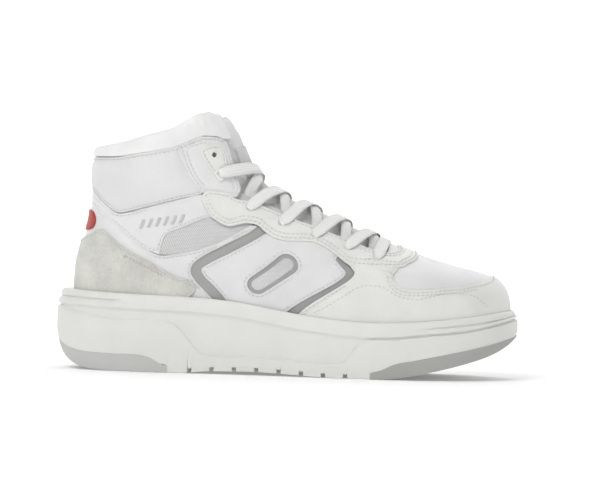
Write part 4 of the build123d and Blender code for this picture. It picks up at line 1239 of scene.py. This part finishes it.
def ankle_lining(side, tag):
    """The shaft's lining, from the quarter lining to the collar seam, and forward to the throat line."""
    v, u = np.linspace(0, 1, 44)[:, None], np.linspace(0, 1, 90)[None, :]
    front = curve([(z, x) for x, z in reversed(THROAT_LINE)], LINING_STEP + v * 55)
    xs = 100 + 0 * u * v
    for _ in range(5):
        z = LINING_STEP + v * (curve(COLLAR_SEAM, xs) - SEAM_GAP - LINING_STEP)
        xs = heel_x(z) + (front - heel_x(z)) * u**1.5
    t = around(z, xs, side)
    deep = pad_depth(z, t)
    seam = 0.5 * np.exp(-(((z - 118) / 1.2) ** 2))
    outer, inner = skin(z, t, LINING[1] - deep - 0.1), skin(z, t, LINING[0] - deep + seam)
    plate_mesh(f"ankle_lining_cloth_{tag}", outer, inner, M["lining"], np.stack([xs, z], -1), "shoe",
               f"ankle_lining_{tag}")


def quarter_lining(side, tag):
    """The lining of the foot's sides, up to the eyestay."""
    v, u = np.linspace(0, 1, 36)[:, None], np.linspace(0, 1, 120)[None, :]
    xs = 228.0 * u**1.6 + 0 * v
    for _ in range(4):
        z = low_z(xs) + v * (curve(QUARTER_TOP, xs) - low_z(xs))
        xs = heel_x(z) + (227.6 - heel_x(z)) * u**1.6
    outer, inner = (skin(z, around(z, xs, side), depth) for depth in LINING[::-1])
    plate_mesh(f"quarter_lining_cloth_{tag}", outer, inner, M["lining"], np.stack([xs, z], -1), "shoe",
               f"quarter_lining_{tag}")


def sockliner(n=220):
    """The removable footbed: a cloth-covered pad dished at the heel."""
    t = np.linspace(0, 2 * np.pi, n, endpoint=False)
    edge = form_outline(t, LINING[0] - 0.6)
    x = LENGTH * (1 - np.cos(t)) / 2
    middle = np.column_stack([np.clip(x, 14, 288), curve(CENTRE, x)])
    rings = []
    for top, shares in ((False, (0.97, 0.6, 0.25, 0.0)),
                        (True, (0.0, 0.012, 0.04, 0.1, 0.2, 0.35, 0.5, 0.7, 0.85, 0.97))):
        for s in shares:
            xy = edge + (middle - edge) * s
            dish = 5.4 - 1.6 * step(s, 0, 0.8) * (1 - step(xy[:, 0], 60, 110)) if s else 4.6
            rings.append(np.column_stack([xy, rim_z(xy[:, 0]) - BED + (dish if top else 0)]))
    verts = np.concatenate(rings) - ORIGIN
    faces = grid_faces(len(rings), n, wrap_cols=True) + cap_faces(0, n) + cap_faces((len(rings) - 1) * n, n)
    fitted(new_mesh("footbed", verts, faces, M["bed"], verts[:, :2]), "shoe", "sockliner")


# ---------------------------------------------- floor, light and camera
def floor_material():
    """White, with a glow that grows with the distance from the shoe."""
    look = Look("floor", (0.95, 0.95, 0.95), 0.9)
    look.inputs["Emission Color"].default_value = (1, 1, 1, 1)
    far = look.nodes.new("ShaderNodeVectorMath")
    far.operation = "LENGTH"
    look.links.new(look.at, far.inputs[0])
    glow = look.nodes.new("ShaderNodeMapRange")
    for socket, value in (("From Min", 0.25), ("From Max", 1.9), ("To Min", 0.12), ("To Max", 0.75)):
        glow.inputs[socket].default_value = value
    look.links.new(far.outputs["Value"], glow.inputs["Value"])
    look.wire(glow.outputs["Result"], "Emission Strength")
    return look.mat


def stage_piece(name, rows, material, hidden_from=()):
    """Part of the studio from rows of points in metres, left out of what the named kinds of ray see."""
    rows = np.array(rows) * 1000
    obj = new_mesh(name, rows.reshape(-1, 3), grid_faces(len(rows), rows.shape[1]), material)
    for kind in hidden_from:
        setattr(obj, f"visible_{kind}", False)


def studio():
    """A floor, a white ring that only the camera sees, and a bent wall that the camera doesn't see."""
    white = floor_material()
    half_floor, ring_radius, half_wall = 6.5, 6.4, 7.0
    just_below = -0.0002  # keeps the floor clear of the sole
    corners = [[(x, y, just_below) for x in (-half_floor, half_floor)] for y in (-half_floor, half_floor)]
    stage_piece("floor", corners, white)
    backdrop = Look("backdrop", (0.9, 0.9, 0.9), 0.9)
    backdrop.inputs["Emission Color"].default_value = (1, 1, 1, 1)
    backdrop.inputs["Emission Strength"].default_value = 1.0
    turn = np.linspace(0, 2 * math.pi, 65)
    ring = np.column_stack([np.cos(turn), np.sin(turn), 0 * turn])
    stage_piece("backdrop", [ring * ring_radius + (0, 0, z) for z in (-0.1, 2.0, 6.0)], backdrop.mat,
                hidden_from=("diffuse", "glossy", "transmission", "shadow"))
    bend = [(2.2 + 1.2 * math.sin(a), 1.2 - 1.2 * math.cos(a)) for a in np.linspace(0, math.pi / 2, 12)]
    rows = [[(x, y, z) for x in (-half_wall, half_wall)] for y, z in [*bend, (3.4, 6.0)]]
    stage_piece("reflector", rows, white, hidden_from=("camera",))


def area_light(name, place, size, power, aim=(0, 0, 0.07)):
    light = bpy.data.lights.new(name, "AREA")
    light.shape = "RECTANGLE"
    light.size, light.size_y = size
    light.energy = power
    obj = bpy.data.objects.new(name, light)
    obj.location = place
    obj.rotation_euler = (Vector(aim) - Vector(place)).to_track_quat("-Z", "Y").to_euler()
    bpy.context.scene.collection.objects.link(obj)


def lights():
    """Three soft lights and a white surround."""
    area_light("key", (-0.5, -1.15, 1.35), (0.9, 0.7), 13.5)
    area_light("top", (0.4, 0.3, 1.9), (1.2, 0.9), 6)
    area_light("fill", (1.5, -1.5, 0.6), (1.4, 1.4), 2)
    world = bpy.data.worlds.new("studio")
    bpy.context.scene.world = world
    world.use_nodes = True
    world.node_tree.nodes["Background"].inputs["Color"].default_value = (1, 1, 1, 1)
    world.node_tree.nodes["Background"].inputs["Strength"].default_value = 0.33
    bpy.context.scene.view_settings.view_transform = "Standard"


def add_camera():
    """A long lens from the lateral side, a little above the floor and slightly rolled."""
    camera = bpy.data.objects.new("camera", bpy.data.cameras.new("camera"))
    bpy.context.scene.collection.objects.link(camera)
    bpy.context.scene.camera = camera
    camera.data.sensor_width = 36
    camera.data.lens = 400
    elevation, yaw, roll, distance = math.radians(1.8), math.radians(1.0), math.radians(1.7), 4.287
    level = math.cos(elevation)
    away = Vector((math.sin(yaw) * level, -math.cos(yaw) * level, math.sin(elevation)))
    camera.location = Vector((0.0040, 0.0, 0.0802)) + away * distance
    turned = (-away).to_track_quat("-Z", "Y").to_matrix().to_4x4()
    camera.matrix_world = Matrix.Translation(camera.location) @ turned @ Matrix.Rotation(roll, 4, "Z")


paint_cad()
rear_quarter()
mudguard()
eyestays()
heel_and_collar()
for side_and_tag in BOTH:
    for piece in (centre_panel, ankle_flap, under_panels, band_mark, fancy_stitches):
        piece(*side_and_tag)
vamp()
sole()
laces()
tongue()
collar_roll()
for side_and_tag in BOTH:
    ankle_lining(*side_and_tag)
    quarter_lining(*side_and_tag)
sockliner()
studio()
lights()
add_camera()
